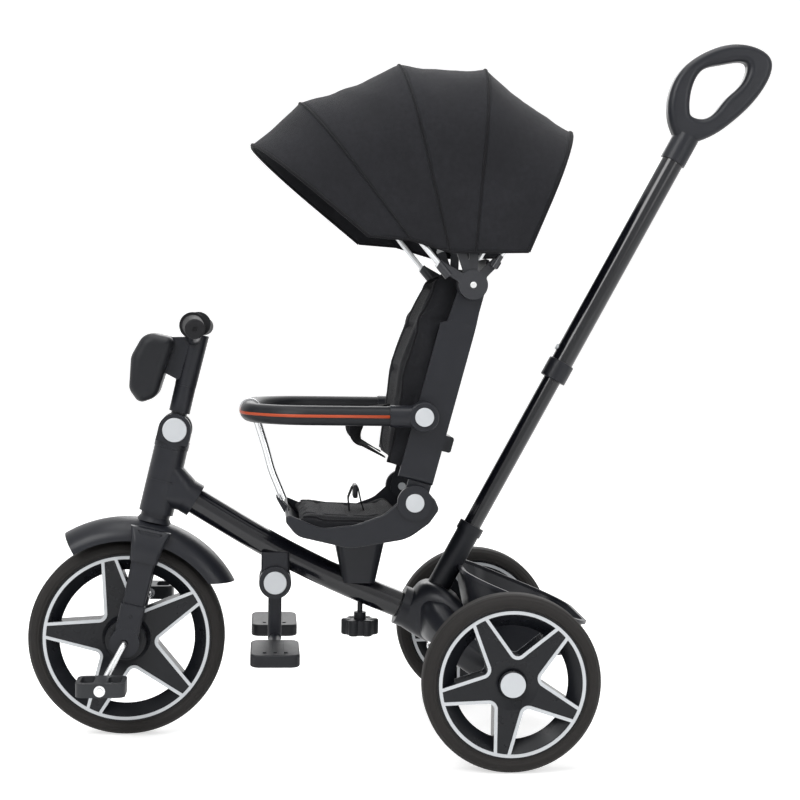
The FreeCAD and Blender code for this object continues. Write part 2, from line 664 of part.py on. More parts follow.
def pedal(side, sign):
    """A pedal with two oval windows, one each side of its spindle."""
    body = new_body(f"pedal_{side}")
    half_y, half_x, half_z = "pedal_length / 2", "pedal_width / 2", "pedal_height / 2"
    outline = [(f"-{half_x}", f"-{half_y}"), (half_x, f"-{half_y}"), (half_x, half_y), (f"-{half_x}", half_y)]
    pad(body, polygon(body, "XY_Plane", outline), "pedal_height", middle=True)
    soften(body, "12", runs_along("z"))
    for end in (-1, 1):
        near, far = f"{end} * (rod_radius + 5)", f"{end} * ({half_y} - 6)"
        window = [(f"9 - {half_x}", near), (f"{half_x} - 9", near), (f"{half_x} - 9", far),
                  (f"9 - {half_x}", far)]
        pocket(body, polygon(body, "XY_Plane", window), "pedal_height + 2", middle=True)
    inner = value("pedal_width / 2 - 9")

    def window_corner(edge):
        return runs_along("z")(edge) and abs(abs(edge.CenterOfMass.x) - inner) < 0.1
    soften(body, "7", window_corner)
    bore = rings(body, "YZ_Plane", [("0", "0", "rod_radius + running_gap")])
    pocket(body, bore, "pedal_width + 2", middle=True)
    swing = f"{-sign} * crank_radius"
    y = f"front_axle_y + ({swing}) * sin(crank_angle)"
    z = f"front_wheel_radius + ({swing}) * cos(crank_angle)"
    return place(body, f"{sign} * pedal_middle", y, z)


# ---------------------------------------------------------------------------------------------------
# Frame: head, main tube, rear body
# ---------------------------------------------------------------------------------------------------
def steering_point(height):
    tilt = math.radians(value("head_tilt"))
    y = value("front_axle_y") + height * math.sin(tilt)
    return Vector(0, y, value("front_wheel_radius") + height * math.cos(tilt))


def rear_point(ahead, rise):
    return Vector(0, value("rear_axle_y") - ahead, value("rear_wheel_radius") + rise)


def tube_corners():
    start = steering_point(value("front_wheel_radius + tube_mount_rise"))
    bend = rear_point(value("tube_bend_ahead"), value("tube_bend_rise"))
    end = rear_point(value("tube_end_ahead"), value("tube_end_rise"))
    return start, bend, end


def tube_height(y):
    """Height of the main tube's middle line over a point of the ground behind its bend."""
    start, bend, end = tube_corners()
    first, last = (start, bend) if y < bend.y else (bend, end)
    return first.z + (last.z - first.z) * (y - first.y) / (last.y - first.y)


def main_tube():
    start, bend, end = tube_corners()
    along = (bend - start).normalize()
    path = rounded_path([start + along * value("tube_inset"), bend, end], [value("tube_bend_radius")])
    shape = tube(path, value("tube_radius"), value("tube_radius - tube_wall"))
    y = value("pivot_y - knob_ahead")
    hole = rod(value("bolt_radius + gap"), 2 * value("tube_radius") + 20,
               Vector(0, y, tube_height(y) - value("tube_radius") - 10), Z)
    new_feature("main_tube", shape.cut(hole))


def head_shell():
    """The steering head with its lug for the main tube and a seam round its middle."""
    start, bend, _ = tube_corners()
    along = (bend - start).normalize()
    across = X.cross(along)
    tilt = math.radians(value("head_tilt"))
    axis = Vector(0, math.sin(tilt), math.cos(tilt))
    bottom = steering_point(value("head_bottom"))
    radius, length = value("head_radius"), value("head_length")
    shell = Part.makeCone(radius, radius - 0.8, length, bottom, axis)
    lug_radius = value("socket_radius")
    wide = section(start, X, across, radius - 3, 37, 16)
    middle = section(start + along * (value("socket_reach") - 16), X, across, lug_radius, lug_radius,
                     lug_radius - 1)
    shell = shell.fuse(Part.makeLoft([wide, middle], True, True))
    shell = shell.fuse(rod(lug_radius, 16, start + along * (value("socket_reach") - 16), along))
    seam = rod(radius + 2, 1.2, bottom + axis * (length / 2),
               axis).cut(rod(radius - 1, 1.2, bottom + axis * (length / 2), axis))
    shell = shell.cut(seam)
    shell = shell.cut(rod(value("bush_radius"), length + 2, bottom - axis, axis))
    shell = shell.cut(rod(value("tube_radius"), 80, start + along * value("tube_inset"), along))
    new_feature("head_shell", max(shell.Solids, key=lambda solid: solid.Volume))


def head_bushes():
    tilt = math.radians(value("head_tilt"))
    axis = Vector(0, math.sin(tilt), math.cos(tilt))
    length = value("bush_length")
    solids = []
    for height in (value("head_bottom"), value("head_top") - length):
        start = steering_point(height)
        solids.append(rod(value("bush_radius"), length, start,
                          axis).cut(rod(value("steerer_radius + running_gap"), length, start, axis)))
    new_feature("head_bushes", Part.makeCompound(solids))


def basket_loft(grow):
    """The basket's outer shape, grown or shrunk evenly: an upright tub with a rim that falls rearward."""
    half, length = value("basket_half_width"), value("basket_length")
    low = value("axle_tube_radius") + 0.3 - grow
    front, rear = value("basket_front_rise"), value("basket_rear_rise")
    middle_low = rear_point(value("basket_front") - 16 - length * 0.42, low)
    bottom = section(middle_low, X, Y, half - 18 + grow, length * 0.37 + grow, 34)
    slope = Vector(0, length, rear - front)
    middle_high = rear_point(value("basket_front") - length / 2, (front + rear) / 2)
    top = section(middle_high, X, slope.normalize(), half + grow,
                  math.hypot(length, rear - front) / 2 + grow, 56)
    return Part.makeLoft([bottom, top], True, True), middle_high, slope


def rear_basket():
    wall = value("basket_wall")
    outer, middle, slope = basket_loft(0)
    inner, _, _ = basket_loft(-wall)
    normal = X.cross(slope)
    half = value("basket_half_width")
    reach = math.hypot(value("basket_length"), value("basket_rear_rise - basket_front_rise")) / 2
    lip = Part.Face(section(middle, X, slope, half + 4, reach + 4, 58)).extrude(normal * 5)
    lip = lip.cut(Part.Face(section(middle - normal, X, slope, half - wall, reach - wall,
                                    54)).extrude(normal * 8))
    foot, lean = handle_frame()
    clear = rod(value("ferrule_radius + gap"), 160, foot - lean * 30, lean)
    shape = outer.cut(inner).fuse(lip).cut(clear)
    new_feature("rear_basket", max(shape.Solids, key=lambda solid: solid.Volume))


def rear_body():
    """The moulded body: a collar on the main tube, a belly, two shoulders and the tube for the axle."""
    start, bend, end = tube_corners()
    along = (end - bend).normalize()
    across = X.cross(along)
    mouth = rear_point(value("collar_ahead"), 0)
    mouth.z = tube_height(mouth.y)
    radius = value("collar_radius")
    shape = rod(radius, 14, mouth, along)
    first = section(mouth + along * 12, X, across, radius - 1, radius - 1, radius - 3)
    second = section(rear_point(97, 60), X, Z, 44, 45, 28)
    third = section(rear_point(48, 42), X, Z, 66, 36, 24)
    shape = shape.fuse(Part.makeLoft([first, second, third], True, False))
    half = value("body_half")
    for sign in (-1, 1):
        sections = [section(rear_point(84, 52) + X * (sign * 26), Y, Z, 26, 34, 18),
                    section(rear_point(76, 40) + X * (sign * 96), Y, Z, 20, 24, 15),
                    section(rear_point(44, 18) + X * (sign * 150), Y, Z, 20, 20, 14),
                    section(rear_point(0, 0) + X * (sign * half), Y, Z, 22, 19, 14)]
        shape = shape.fuse(Part.makeLoft(sections, True, False))
    axle = rear_point(0, 0) - X * half
    shape = shape.fuse(rod(value("axle_tube_radius"), 2 * half, axle, X))
    shape = shape.cut(basket_loft(0.4)[0])
    shape = shape.cut(rod(value("axle_radius"), 2 * half + 2, axle - X, X))
    shape = shape.cut(rod(value("tube_radius"), (end - mouth).Length + 5, mouth - along * 5, along))
    foot, lean = handle_frame()
    shape = shape.cut(rod(value("ferrule_radius"), 120, foot - lean * 30, lean))
    new_feature("rear_body", max(shape.Solids, key=lambda solid: solid.Volume))


def rear_axle():
    """The steel axle with a spacer collar inside each wheel."""
    half = value("rear_track_half + tyre_width / 2 - 3")
    body_half = value("body_half")
    shape = rod(value("axle_radius"), 2 * half, rear_point(0, 0) - X * half, X)
    for sign in (-1, 1):
        start = rear_point(0, 0) + X * (sign * (body_half + 0.3))
        shape = shape.fuse(rod(9, value("wheel_gap") + 2.5 - 0.6, start, X * sign))
    new_feature("rear_axle", shape)


def body_bolts():
    """The two bright bolts in the shoulders."""
    solids = []
    for sign in (-1, 1):
        point = rear_point(98, 28) + X * (sign * 108)
        solids.append(rod(5.5, 7, point, Vector(0, -0.85, 0.1)))
        solids[-1] = solids[-1].fuse(rod(3, 14, point - Vector(0, -6, 0.7), Vector(0, -0.85, 0.1)))
    new_feature("body_bolts", Part.makeCompound(solids))


# ---------------------------------------------------------------------------------------------------
# Push handle, built along its leaning axis
# ---------------------------------------------------------------------------------------------------
def handle_frame():
    """The foot of the handle's axis and the direction it leans in."""
    lean = math.radians(value("handle_lean"))
    foot = rear_point(value("handle_foot_ahead"), value("handle_foot_rise"))
    return foot, Vector(0, math.cos(lean), math.sin(lean))


def handle_ferrule():
    foot, along = handle_frame()
    start = foot - along * 30
    length = value("ferrule_length") + 30
    shape = rod(value("ferrule_radius"), length, start, along)
    shape = shape.fuse(rod(value("ferrule_radius") + 2, 14, foot + along * (value("ferrule_length") - 14),
                           along))
    shape = shape.cut(rod(value("lower_radius"), length, foot - along * 20, along))
    new_feature("handle_ferrule", shape)


def handle_lower_tube():
    foot, along = handle_frame()
    length = value("collar_at + tube_overlap") + 20
    start = foot - along * 20
    shape = rod(value("lower_radius"), length, start, along)
    new_feature("handle_lower_tube",
                shape.cut(rod(value("lower_radius - handle_wall"), length, start, along)))


def handle_upper_tube():
    foot, along = handle_frame()
    start = foot + along * value("collar_at")
    length = value("handle_length - collar_at") - 14
    shape = rod(value("upper_radius"), length, start, along)
    shape = shape.cut(rod(value("lower_radius + running_gap"), length, start, along))
    new_feature("handle_upper_tube", shape.cut(rod(5, 40, start + along * 44, X.cross(along))))


def handle_collar():
    foot, along = handle_frame()
    start = foot + along * (value("collar_at") - 3)
    shape = rod(value("upper_radius") + 3, 30, start, along)
    shape = shape.makeFillet(1.5, shape.Edges)
    new_feature("handle_collar", shape.cut(rod(value("upper_radius"), 34, start + along * 3, along))
                .cut(rod(value("lower_radius + running_gap"), 40, start - along, along)))


def handle_button():
    """The spring button that locks the handle's length, in the upper tube's hole."""
    foot, along = handle_frame()
    across = X.cross(along)
    start = foot + along * (value("collar_at") + 44) + across * (value("lower_radius") + 1.6)
    shape = rod(4.6, value("upper_radius - lower_radius") + 1.2, start, across)
    new_feature("handle_button", shape.makeFillet(1, [shape.Edges[0]]))


def loop_outline(points):
    curve = Part.BSplineCurve()
    curve.interpolate(Points=points, PeriodicFlag=True)
    return Part.Face(Part.Wire([curve.toShape()]))


def handle_loop():
    """The egg-shaped loop in the plane of travel, with the sleeve that takes the upper tube."""
    foot, along = handle_frame()
    joint = foot + along * value("handle_length")
    half = value("loop_half_width")
    reach = value("loop_reach")
    outer = [(-18, -4), (-31, 40), (-14, 95), (30, 128), (85, 138), (reach, 117), (reach - 14, 68), (70, 24),
             (22, -6)]
    inner = [(3, 34), (4, 66), (20, 98), (52, 108), (88, 108), (84, 86), (55, 54), (22, 26)]
    solids = []
    for points in (outer, inner):
        outlined = [Vector(-half, joint.y + y, joint.z + z) for y, z in points]
        solids.append(loop_outline(outlined).extrude(X * (2 * half)))
    shape = solids[0].cut(solids[1])
    shape = shape.makeFillet(10, [edge for edge in shape.Edges if in_face_across_x(edge)])
    sleeve = rod(value("upper_radius") + 2.5, 44, joint - along * 44, along)
    shape = shape.fuse(sleeve).cut(rod(value("upper_radius"), 31, joint - along * 45, along))
    shape = shape.cut(rod(value("lower_radius"), 60, joint - along * 70, along))
    new_feature("handle_loop", shape)


# ---------------------------------------------------------------------------------------------------
# Footrest
# ---------------------------------------------------------------------------------------------------
def footrest_point():
    y = value("rear_axle_y - footrest_ahead")
    return Vector(0, y, tube_height(y) - value("tube_radius + footrest_gap"))


def footrest_hinge():
    """Two round cheeks under the main tube, joined by the saddle that clamps to it."""
    point = footrest_point()
    radius, half = value("footrest_hinge_radius"), value("footrest_half_width")
    start, bend, end = tube_corners()
    shape = rod(radius, 2 * half, point - X * half, X)
    saddle = section(point + Z * 14, X, Y, half - 6, 21, 6)
    shape = shape.fuse(Part.Face(saddle).extrude(Z * (value("footrest_gap + tube_radius") - 16)))
    path = rounded_path([start, bend, end], [value("tube_bend_radius")])
    shape = shape.cut(sweep(path, value("tube_radius")))
    slot = Part.makeBox(27.4, 120, 80, point + Vector(-13.7, -60, -80 + value("footrest_hinge_radius") - 1.5))
    shape = shape.cut(slot)
    shape = shape.cut(rod(value("pin_radius"), 2 * half + 2, point - X * (half + 1), X))
    new_feature("footrest_hinge", shape)


def footrest_pin():
    """The pivot pin with its bright cap at each end."""
    point = footrest_point()
    half = value("footrest_half_width")
    shape = rod(value("pin_radius"), 2 * half, point - X * half, X)
    for sign in (-1, 1):
        cap = rod(value("cap_radius"), 2.6, point + X * (sign * half), X * sign)
        shape = shape.fuse(cap.makeFillet(1,
                                          [edge for edge in cap.Edges if abs(edge.CenterOfMass.x) > half
                                           + 2]))
    new_feature("footrest_pin", shape)


def footrest_leg():
    point = footrest_point()
    half, length = value("footrest_leg_half"), value("footrest_leg_length")
    shape = rod(value("footrest_hinge_radius") - 3.5, 26.6, point - X * 13.3, X)
    outline = section(point - Z * 10, X, Y, 13.3, half, 4)
    shape = shape.fuse(Part.Face(outline).extrude(Z * (10 - length)))
    bar = value("pad_inside") + 10
    shape = shape.fuse(rod(9, 2 * bar, point - Z * length - X * bar, X))
    shape = shape.cut(rod(value("pin_radius + running_gap"), 40, point - X * 20, X))
    new_feature("footrest_leg", shape)


def footrest_pads():
    """Both foot pads, each with three raised ribs across its top."""
    point = footrest_point() - Z * value("footrest_leg_length")
    inside, outside = value("pad_inside"), value("pad_outside")
    half_y, height = value("pad_length / 2"), value("pad_height")
    solids = []
    for sign in (-1, 1):
        middle = point + X * (sign * (inside + outside) / 2)
        outline = section(middle - Z * (height / 2), X, Y, (outside - inside) / 2, half_y, value("pad_round"))
        shape = Part.Face(outline).extrude(Z * height)
        shape = shape.makeFillet(3, [edge for edge in shape.Edges if edge.BoundBox.ZLength < 0.01])
        shape = shape.cut(rod(9, 10.2, point + X * (sign * (inside - 0.1)), X * sign))
        for step in (-1, 0, 1):
            rib = section(middle + Y * (15 * step) + Z * (height / 2 - 1), X, Y, (outside - inside) / 2 - 18,
                          2.5, 2)
            shape = shape.fuse(Part.Face(rib).extrude(Z * 2.2))
        solids.append(shape)
    new_feature("footrest_pads", Part.makeCompound(solids))


# ---------------------------------------------------------------------------------------------------
# Seat
# ---------------------------------------------------------------------------------------------------
def seat_point(y, z):
    return (value("pivot_y") + y, value("pivot_z") + z)


def seat_pan():
    """The moulded pan with its pedestal astride the main tube and the fork that steadies the bar's strut."""
    half, wall = value("seat_half_width"), value("seat_wall")
    outside = [(-184, -17), (-184, -30), (-168, -50), (-92, -67), (-9, -53), (22, -30), (36, -10), (28, 8),
               (-22, 2), (-44, -18), (-85, -33), (-134, -38)]
    inside = [(-180, 60), (-180, -26), (-164, -45), (-91, -62), (-11, -48), (14, -28), (22, -8), (22, 60)]
    shape = slab([seat_point(*point) for point in outside], [5, 8, 30, 60, 60, 20, 8, 8, 14, 40, 60, 40],
                 half)
    shape = shape.makeFillet(3,
                             [edge for edge in shape.Edges if in_face_across_x(edge)
                              and edge.CenterOfMass.z < value("pivot_z") - 40])
    for sign in (-1, 1):
        start = Vector(sign * (half - wall), value("pivot_y"), value("pivot_z"))
        shape = shape.fuse(rod(value("pivot_boss_radius"), wall + 6, start, X * sign))
    shape = shape.cut(slab([seat_point(*point) for point in inside], [4, 6, 26, 60, 50, 16, 4, 4],
                           half - wall))
    rear = value("pivot_z")
    clear = rod(value("pivot_boss_radius") + 4, 2 * (half - wall),
                Vector(wall - half, value("pivot_y"), rear), X)
    shape = shape.cut(clear)
    middle = Vector(-half - 20, value("pivot_y"), rear)
    shape = shape.cut(rod(value("seat_pin_radius"), 2 * half + 40, middle, X))
    foot_y = value("pivot_y - knob_ahead")
    top = section(Vector(0, foot_y - 4, value("pivot_z") - 64), X, Y, 44, 38, 14)
    bottom = section(Vector(0, foot_y - 3, tube_height(foot_y) + 12), X, Y, 25, 24, 10)
    pedestal = Part.makeLoft([bottom, top], True, True)
    start, bend, end = tube_corners()
    shape = shape.fuse(pedestal).cut(sweep(rounded_path([start, bend, end], [value("tube_bend_radius")]),
                                           value("tube_radius")))
    shape = shape.cut(rod(value("bolt_radius + running_gap"), 60, Vector(0, foot_y, tube_height(foot_y)), Z))
    for sign in (-1, 1):
        prong = [(-176, -24), (-183, -16), (-199, -1), (-196, -9), (-185, -28)]
        shape = shape.fuse(slab([seat_point(*point) for point in prong], [1, 2, 1, 1, 1], 2.5, sign * 11))
    notch = Part.makeBox(18, 14, 40, Vector(-9, value("pivot_y") - 190, value("pivot_z") - 24))
    new_feature("seat_pan", shape.cut(notch))


def seat_cushion():
    """The plain solid that stands for the padded seat liner."""
    outline = [(-166, -19), (-174, -30), (-160, -42), (-91, -60), (-16, -47), (-6, -36), (-20, -14),
               (-60, -26), (-120, -24)]
    half = value("seat_half_width - seat_wall - gap")
    shape = slab([seat_point(*point) for point in outline], [6, 6, 20, 60, 8, 5, 6, 60, 30], half)
    notch = Part.makeBox(20, 26, 40, Vector(-10, value("pivot_y") - 186, value("pivot_z") - 24))
    new_feature("seat_cushion", shape.cut(notch))


def seat_knob():
    """The star knob under the tube with its clamp bolt."""
    y = value("pivot_y - knob_ahead")
    radius, height = value("knob_radius"), value("knob_height")
    top = tube_height(y) - value("tube_radius + knob_gap")
    start = Vector(0, y, top - height)
    shape = rod(radius, height, start, Z)
    for number in range(6):
        turn = FreeCAD.Rotation(Z, 60 * number)
        lobe = rod(8, height + 2, start + turn.multVec(Y * (radius - 3)) - Z, Z)
        shape = shape.fuse(lobe.makeFillet(3, [edge for edge in lobe.Edges if edge.Closed]))
    shape = shape.fuse(rod(9, 12, Vector(0, y, top - 1), Z))
    bolt = value("bolt_radius")
    length = value("tube_radius") * 2 + value("knob_gap") + 24
    new_feature("seat_knob", shape.fuse(rod(bolt, length, Vector(0, y, top), Z)))


def recline_pins():
    """The two stub pins that carry the backrest, each with a bright cap."""
    half = value("seat_half_width")
    solids = []
    for sign in (-1, 1):
        start = Vector(sign * (half - 12), value("pivot_y"), value("pivot_z"))
        shape = rod(value("seat_pin_radius"), 18, start, X * sign)
        cap = rod(value("seat_cap_radius"), 2.6, start + X * (18 * sign), X * sign)
        solids.append(shape.fuse(cap.makeFillet(1,
                                                [edge for edge in cap.Edges
                                                 if abs(edge.CenterOfMass.x) > half + 8])))
    new_feature("recline_pins", Part.makeCompound(solids))


def backrest_shell():
    """A channel with forward wings, pivot ears below, hub cheeks for the canopy above and latch rails."""
    half, wall = value("back_half_width"), value("back_wall")
    front, rear = -value("back_front"), value("back_depth")
    top = value("back_height")
    outline = [Vector(-half, front, 30), Vector(half, front, 30), Vector(half, front, 262),
               Vector(74, front, top),
               Vector(-74, front, top), Vector(-half, front, 262)]
    shape = Part.Face(rounded_outline(outline, [6, 6, 60, 40, 40, 60])).extrude(Y * (rear - front))
    cavity = [Vector(wall - half, front - 1, 20), Vector(half - wall, front - 1, 20),
              Vector(half - wall, front - 1, 260),
              Vector(74 - wall, front - 1, top - wall), Vector(wall - 74, front - 1, top - wall),
              Vector(wall - half, front - 1, 260)]
    shape = shape.cut(Part.Face(rounded_outline(cavity, [4, 4, 56, 36, 36, 56])).extrude(Y
                                                                                         * (rear - front + 1
                                                                                            - wall)))
    slope = slab([(front - 5, 256), (rear - wall, 285), (rear - wall, top + 20), (front - 5, top + 20)],
                 [2] * 4, half + 5)
    shape = shape.cut(slope)
    hub_y, hub_z = -value("hub_ahead"), value("hub_rise")
    layer = value("hub_layer")
    ear_half = value("seat_half_width - seat_wall") - 0.4
    for sign in (-1, 1):
        cheek = slab([(-26, 236), (rear - 1, 236), (rear - 1, hub_z), (-20, hub_z)], [2] * 4, 3,
                     sign * (layer - 3))
        shape = shape.fuse(cheek).fuse(rod(value("canopy_hub_radius"), 6,
                                           Vector(sign * (layer - 6), hub_y, hub_z), X * sign))
        start = Vector(sign * (ear_half - wall), 0, 0)
        ear = rod(18, wall, start, X * sign)
        ear = ear.fuse(slab([(-17, 2), (17, 2), (17, 44), (-17, 44)], [1] * 4, wall / 2,
                            sign * (ear_half - wall / 2)))
        ear = ear.cut(rod(value("seat_pin_radius + running_gap"), 20, start - X * (5 * sign), X * sign))
        shape = shape.fuse(ear)
        arm = Vector(sign * (half - wall - 1), -value("arm_ahead"), value("arm_rise"))
        shape = shape.cut(rod(value("seat_pin_radius"), wall + 2, arm, X * sign))
        hub = Vector(sign * (layer - 8), hub_y, hub_z)
        shape = shape.cut(rod(value("seat_pin_radius"), 10, hub, X * sign))
        rail_x = sign * (value("latch_half_width") + 0.4 + 2.5)
        low, high = value("latch_rise") - 8, value("latch_rise + latch_height") + 12
        shape = shape.fuse(slab([(rear - 2, low), (rear + 9, low + 3), (rear + 9, high - 3),
                                 (rear - 2, high)], [1, 3, 3, 1], 2.5, rail_x))
    at_backrest(new_feature("backrest_shell", shape.removeSplitter()))


def backrest_cushion():
    """The plain solid that stands for the padded back liner."""
    half = value("back_half_width - back_wall") - 1.5
    outline = [(-50, 34), (-70, 185), (-62, 262), (-50, 330), (-6, 356), (8, 352), (8, 40)]
    shape = slab(outline, [10, 120, 60, 24, 8, 6, 6], half)
    sides = [Vector(-half, -90, 30), Vector(half, -90, 30), Vector(half, -90, 258), Vector(66, -90, 360),
             Vector(-66, -90, 360), Vector(-half, -90, 258)]
    shape = shape.common(Part.Face(rounded_outline(sides, [6, 6, 56, 30, 30, 56])).extrude(Y * 120))
    hub_y, hub_z = -value("hub_ahead"), value("hub_rise")
    ear_inside = value("seat_half_width - seat_wall - back_wall") - 1
    cheek_inside = value("hub_layer") - 7
    for sign in (-1, 1):
        shape = shape.cut(rod(30, 40, Vector(sign * (value("hub_layer") - 16), hub_y, hub_z), X * sign))
        shape = shape.cut(rod(9, 12, Vector(sign * (half - 6), -value("arm_ahead"), value("arm_rise")),
                              X * sign))
        shape = shape.cut(slab([(-28, 0), (30, 0), (30, 46), (-28, 46)], [1] * 4, 10,
                               sign * (ear_inside + 10)))
        shape = shape.cut(slab([(-28, 234), (30, 234), (30, 400), (-28, 400)], [1] * 4, 20,
                               sign * (cheek_inside + 20)))
    at_backrest(new_feature("backrest_cushion", shape))


def recline_latch():
    """The lever on the back that is pulled up to let the backrest tilt."""
    rear = value("back_depth") + value("gap")
    low, high = value("latch_rise"), value("latch_rise + latch_height")
    proud = value("latch_proud")
    outline = [(rear, low), (rear + proud, low), (rear + proud, high), (rear, high)]
    shape = slab(outline, [1, 4, 4, 1], value("latch_half_width"))
    at_backrest(new_feature("recline_latch", shape))


def harness_straps():
    """Two flat shoulder loops that come out of the back liner and return to it."""
    liner = doc.getObject("backrest_cushion").Shape.copy()
    liner.Placement = FreeCAD.Placement()
    solids = []
    for sign in (-1, 1):
        corners = [Vector(sign * 52, -40, 124), Vector(sign * 52, -104, 100), Vector(sign * 52, -108, 62),
                   Vector(sign * 52, -40, 44)]
        path = rounded_path(corners, [16, 20])
        start = path.Edges[0]
        tangent = start.tangentAt(start.FirstParameter)
        band = section(start.valueAt(start.FirstParameter), X, X.cross(tangent), 12, 1.2, 1)
        strap = path.makePipeShell([band], True, False).cut(liner)
        solids.append(max(strap.Solids, key=lambda solid: solid.Volume))
    at_backrest(new_feature("harness_straps", Part.makeCompound(solids)))


def crotch_strap():
    """The strap between the legs with its buckle tongue."""
    corners = [(-84, -26), (-90, -4), (-84, 12), (-76, 14), (-66, -14), (-62, -26), (-68, -26), (-76, 2),
               (-82, 0), (-78, -26)]
    shape = slab([seat_point(*point) for point in corners], [0.6] * 10, 13)
    new_feature("crotch_strap", shape.cut(doc.getObject("seat_cushion").Shape))


# ---------------------------------------------------------------------------------------------------
# Safety bar
# ---------------------------------------------------------------------------------------------------
def arm_point():
    angle = math.radians(value("back_angle"))
    rise, ahead = value("arm_rise"), -value("arm_ahead")
    y = value("pivot_y") + rise * math.sin(angle) + ahead * math.cos(angle)
    return Vector(0, y, value("pivot_z") + rise * math.cos(angle) - ahead * math.sin(angle))


def bar_hubs():
    """The hub discs on the backrest's wings, each moulded in one with the ferrule that takes the bar."""
    solids = []
    half = value("safety_radius + ferrule_wall")
    for sign in (-1, 1):
        middle = arm_point() + X * (sign * value("safety_x"))
        shape = rod(value("arm_hub_radius"), 2 * half, middle - X * half, X)
        shape = shape.makeFillet(2, [edge for edge in shape.Edges if edge.Closed])
        shape = shape.fuse(rod(half, 33, middle - Y * 48, Y))
        shape = shape.cut(rod(value("safety_radius"), 34, middle - Y * 56, Y))
        shape = shape.cut(rod(value("seat_pin_radius + running_gap"), 40, middle - X * 20, X))
        solids.append(max(shape.Solids, key=lambda solid: solid.Volume))
    new_feature("bar_hubs", Part.makeCompound(solids))


def safety_bar():
    middle, x = arm_point(), value("safety_x")
    front = -value("safety_reach")
    end = -22
    corners = [middle + Vector(x, end, 0), middle + Vector(x, front, 0), middle + Vector(-x, front, 0),
               middle + Vector(-x, end, 0)]
    new_feature("safety_bar",
                sweep(rounded_path(corners, [value("safety_bend")] * 2), value("safety_radius")))


def bar_pins():
    """The pins that carry the bar, each with a bright cap on its outer end."""
    solids = []
    for sign in (-1, 1):
        start = arm_point() + X * (sign * (value("back_half_width - back_wall")))
        length = value("back_wall + 2 * (gap + safety_radius + ferrule_wall)")
        shape = rod(value("seat_pin_radius"), length, start, X * sign)
        cap = rod(value("seat_cap_radius"), 2.4, start + X * (length * sign), X * sign)
        far = abs(start.x) + length + 2
        solids.append(shape.fuse(cap.makeFillet(1,
                                                [edge for edge in cap.Edges
                                                 if abs(edge.CenterOfMass.x) > far])))
    new_feature("bar_pins", Part.makeCompound(solids))


def bar_strut():
    """The bright strut: a thin band round the bar and a curved rod down to the fork on the seat."""
    middle = arm_point() - Y * value("safety_reach")
    radius = value("strut_radius")
    inner = value("safety_radius") + 0.1
    band = rod(inner + 2.4, 2 * radius, middle - X * radius,
               X).cut(rod(inner, 2 * radius, middle - X * radius, X))
    corners = [middle + Vector(0, 9, -13), middle + Vector(0, 23, -56), middle + Vector(0, 33, -92),
               middle + Vector(0, 51, -134)]
    rod_shape = sweep(rounded_path(corners, [150, 150]), radius).cut(rod(inner, 40, middle - X * 20, X))
    shape = band.fuse(rod_shape)
    new_feature("bar_strut", max(shape.Solids, key=lambda solid: solid.Volume))


# ---------------------------------------------------------------------------------------------------
# Canopy: every bow turns on the hub axis; a skin panel spans each pair of neighbours
# ---------------------------------------------------------------------------------------------------
# Each bow is a leg start and a crown, both measured from the hub in Y and Z.
BOW_LINES = {
    "canopy_front_bow": ((-40, 18), (-243, 258)),
    "canopy_second_bow": ((-18, 47), (-101, 316)),
    "canopy_third_bow": ((1, 50), (24, 312)),
    "canopy_rear_bow": ((29, 25), (150, 224)),
}
# Where the skin's lower edge crosses each bow's plane, from the front bow back.
SKIN_HEMS = [(-90, 62), (-34, 46), (2, 46), (78, 48)]
VISOR_LINE = ((-149, 66), (-316, 201))


def hub_point():
    angle = math.radians(value("back_angle"))
    rise, ahead = value("hub_rise"), -value("hub_ahead")
    y = value("pivot_y") + rise * math.sin(angle) + ahead * math.cos(angle)
    return Vector(0, y, value("pivot_z") + rise * math.cos(angle) - ahead * math.sin(angle))


def bow_layer(order):
    """Inner face and thickness of a bow's hub arm; the front bow's is the thick outer one."""
    inner = value("hub_layer") + value("layer_gap") + order * value("arm_layer + layer_gap")
    return inner, value("arm_thick" if order == 3 else "arm_layer")


def canopy_bow(name, order):
    leg, crown = (Vector(0, *pair) for pair in BOW_LINES[name])
    hub = hub_point()
    x = value("bow_x")
    start, top = hub + leg, hub + crown
    corners = [start + X * x, top + X * x, top - X * x, start - X * x]
    shape = sweep(rounded_path(corners, [value("bow_bend")] * 2), value("bow_radius"))
    inner, thick = bow_layer(order)
    along = (crown - leg).normalize()
    for sign in (-1, 1):
        first = hub + X * (sign * inner)
        disc = rod(value("canopy_hub_radius") - 1, thick, first, X * sign)
        reach = leg + along * 12
        side = X.cross(leg).normalize() * 7
        arm_face = Part.Face(Part.makePolygon([first + side, first + reach + side * 0.9,
                                               first + reach - side * 0.9, first - side, first + side]))
        arm = arm_face.extrude(X * (sign * thick))
        shape = shape.fuse(disc).fuse(arm)
        if inner + thick < x:
            link = section(first + X * (sign * thick / 2) + leg + along * 6, along, X.cross(along), 6, 6, 2)
            shape = shape.fuse(Part.Face(link).extrude(X * (sign * (x - inner - thick / 2))))
        if order == 3:
            shape = shape.fuse(rod(value("bow_radius") + 2.6, 24, hub + X * (sign * x) + leg - along * 8,
                                   along))
        hole = value("seat_pin_radius" if order == 0 else "seat_pin_radius + running_gap")
        if order:
            shape = shape.cut(rod(hole, thick + 8, first - X * (4 * sign), X * sign))
        else:
            pin_length = x + value("bow_radius") - value("hub_layer") + 8
            shape = shape.fuse(rod(value("seat_pin_radius"), pin_length,
                                   hub + X * (sign * (value("hub_layer") - 8)), X * sign))
    new_feature(name, shape)


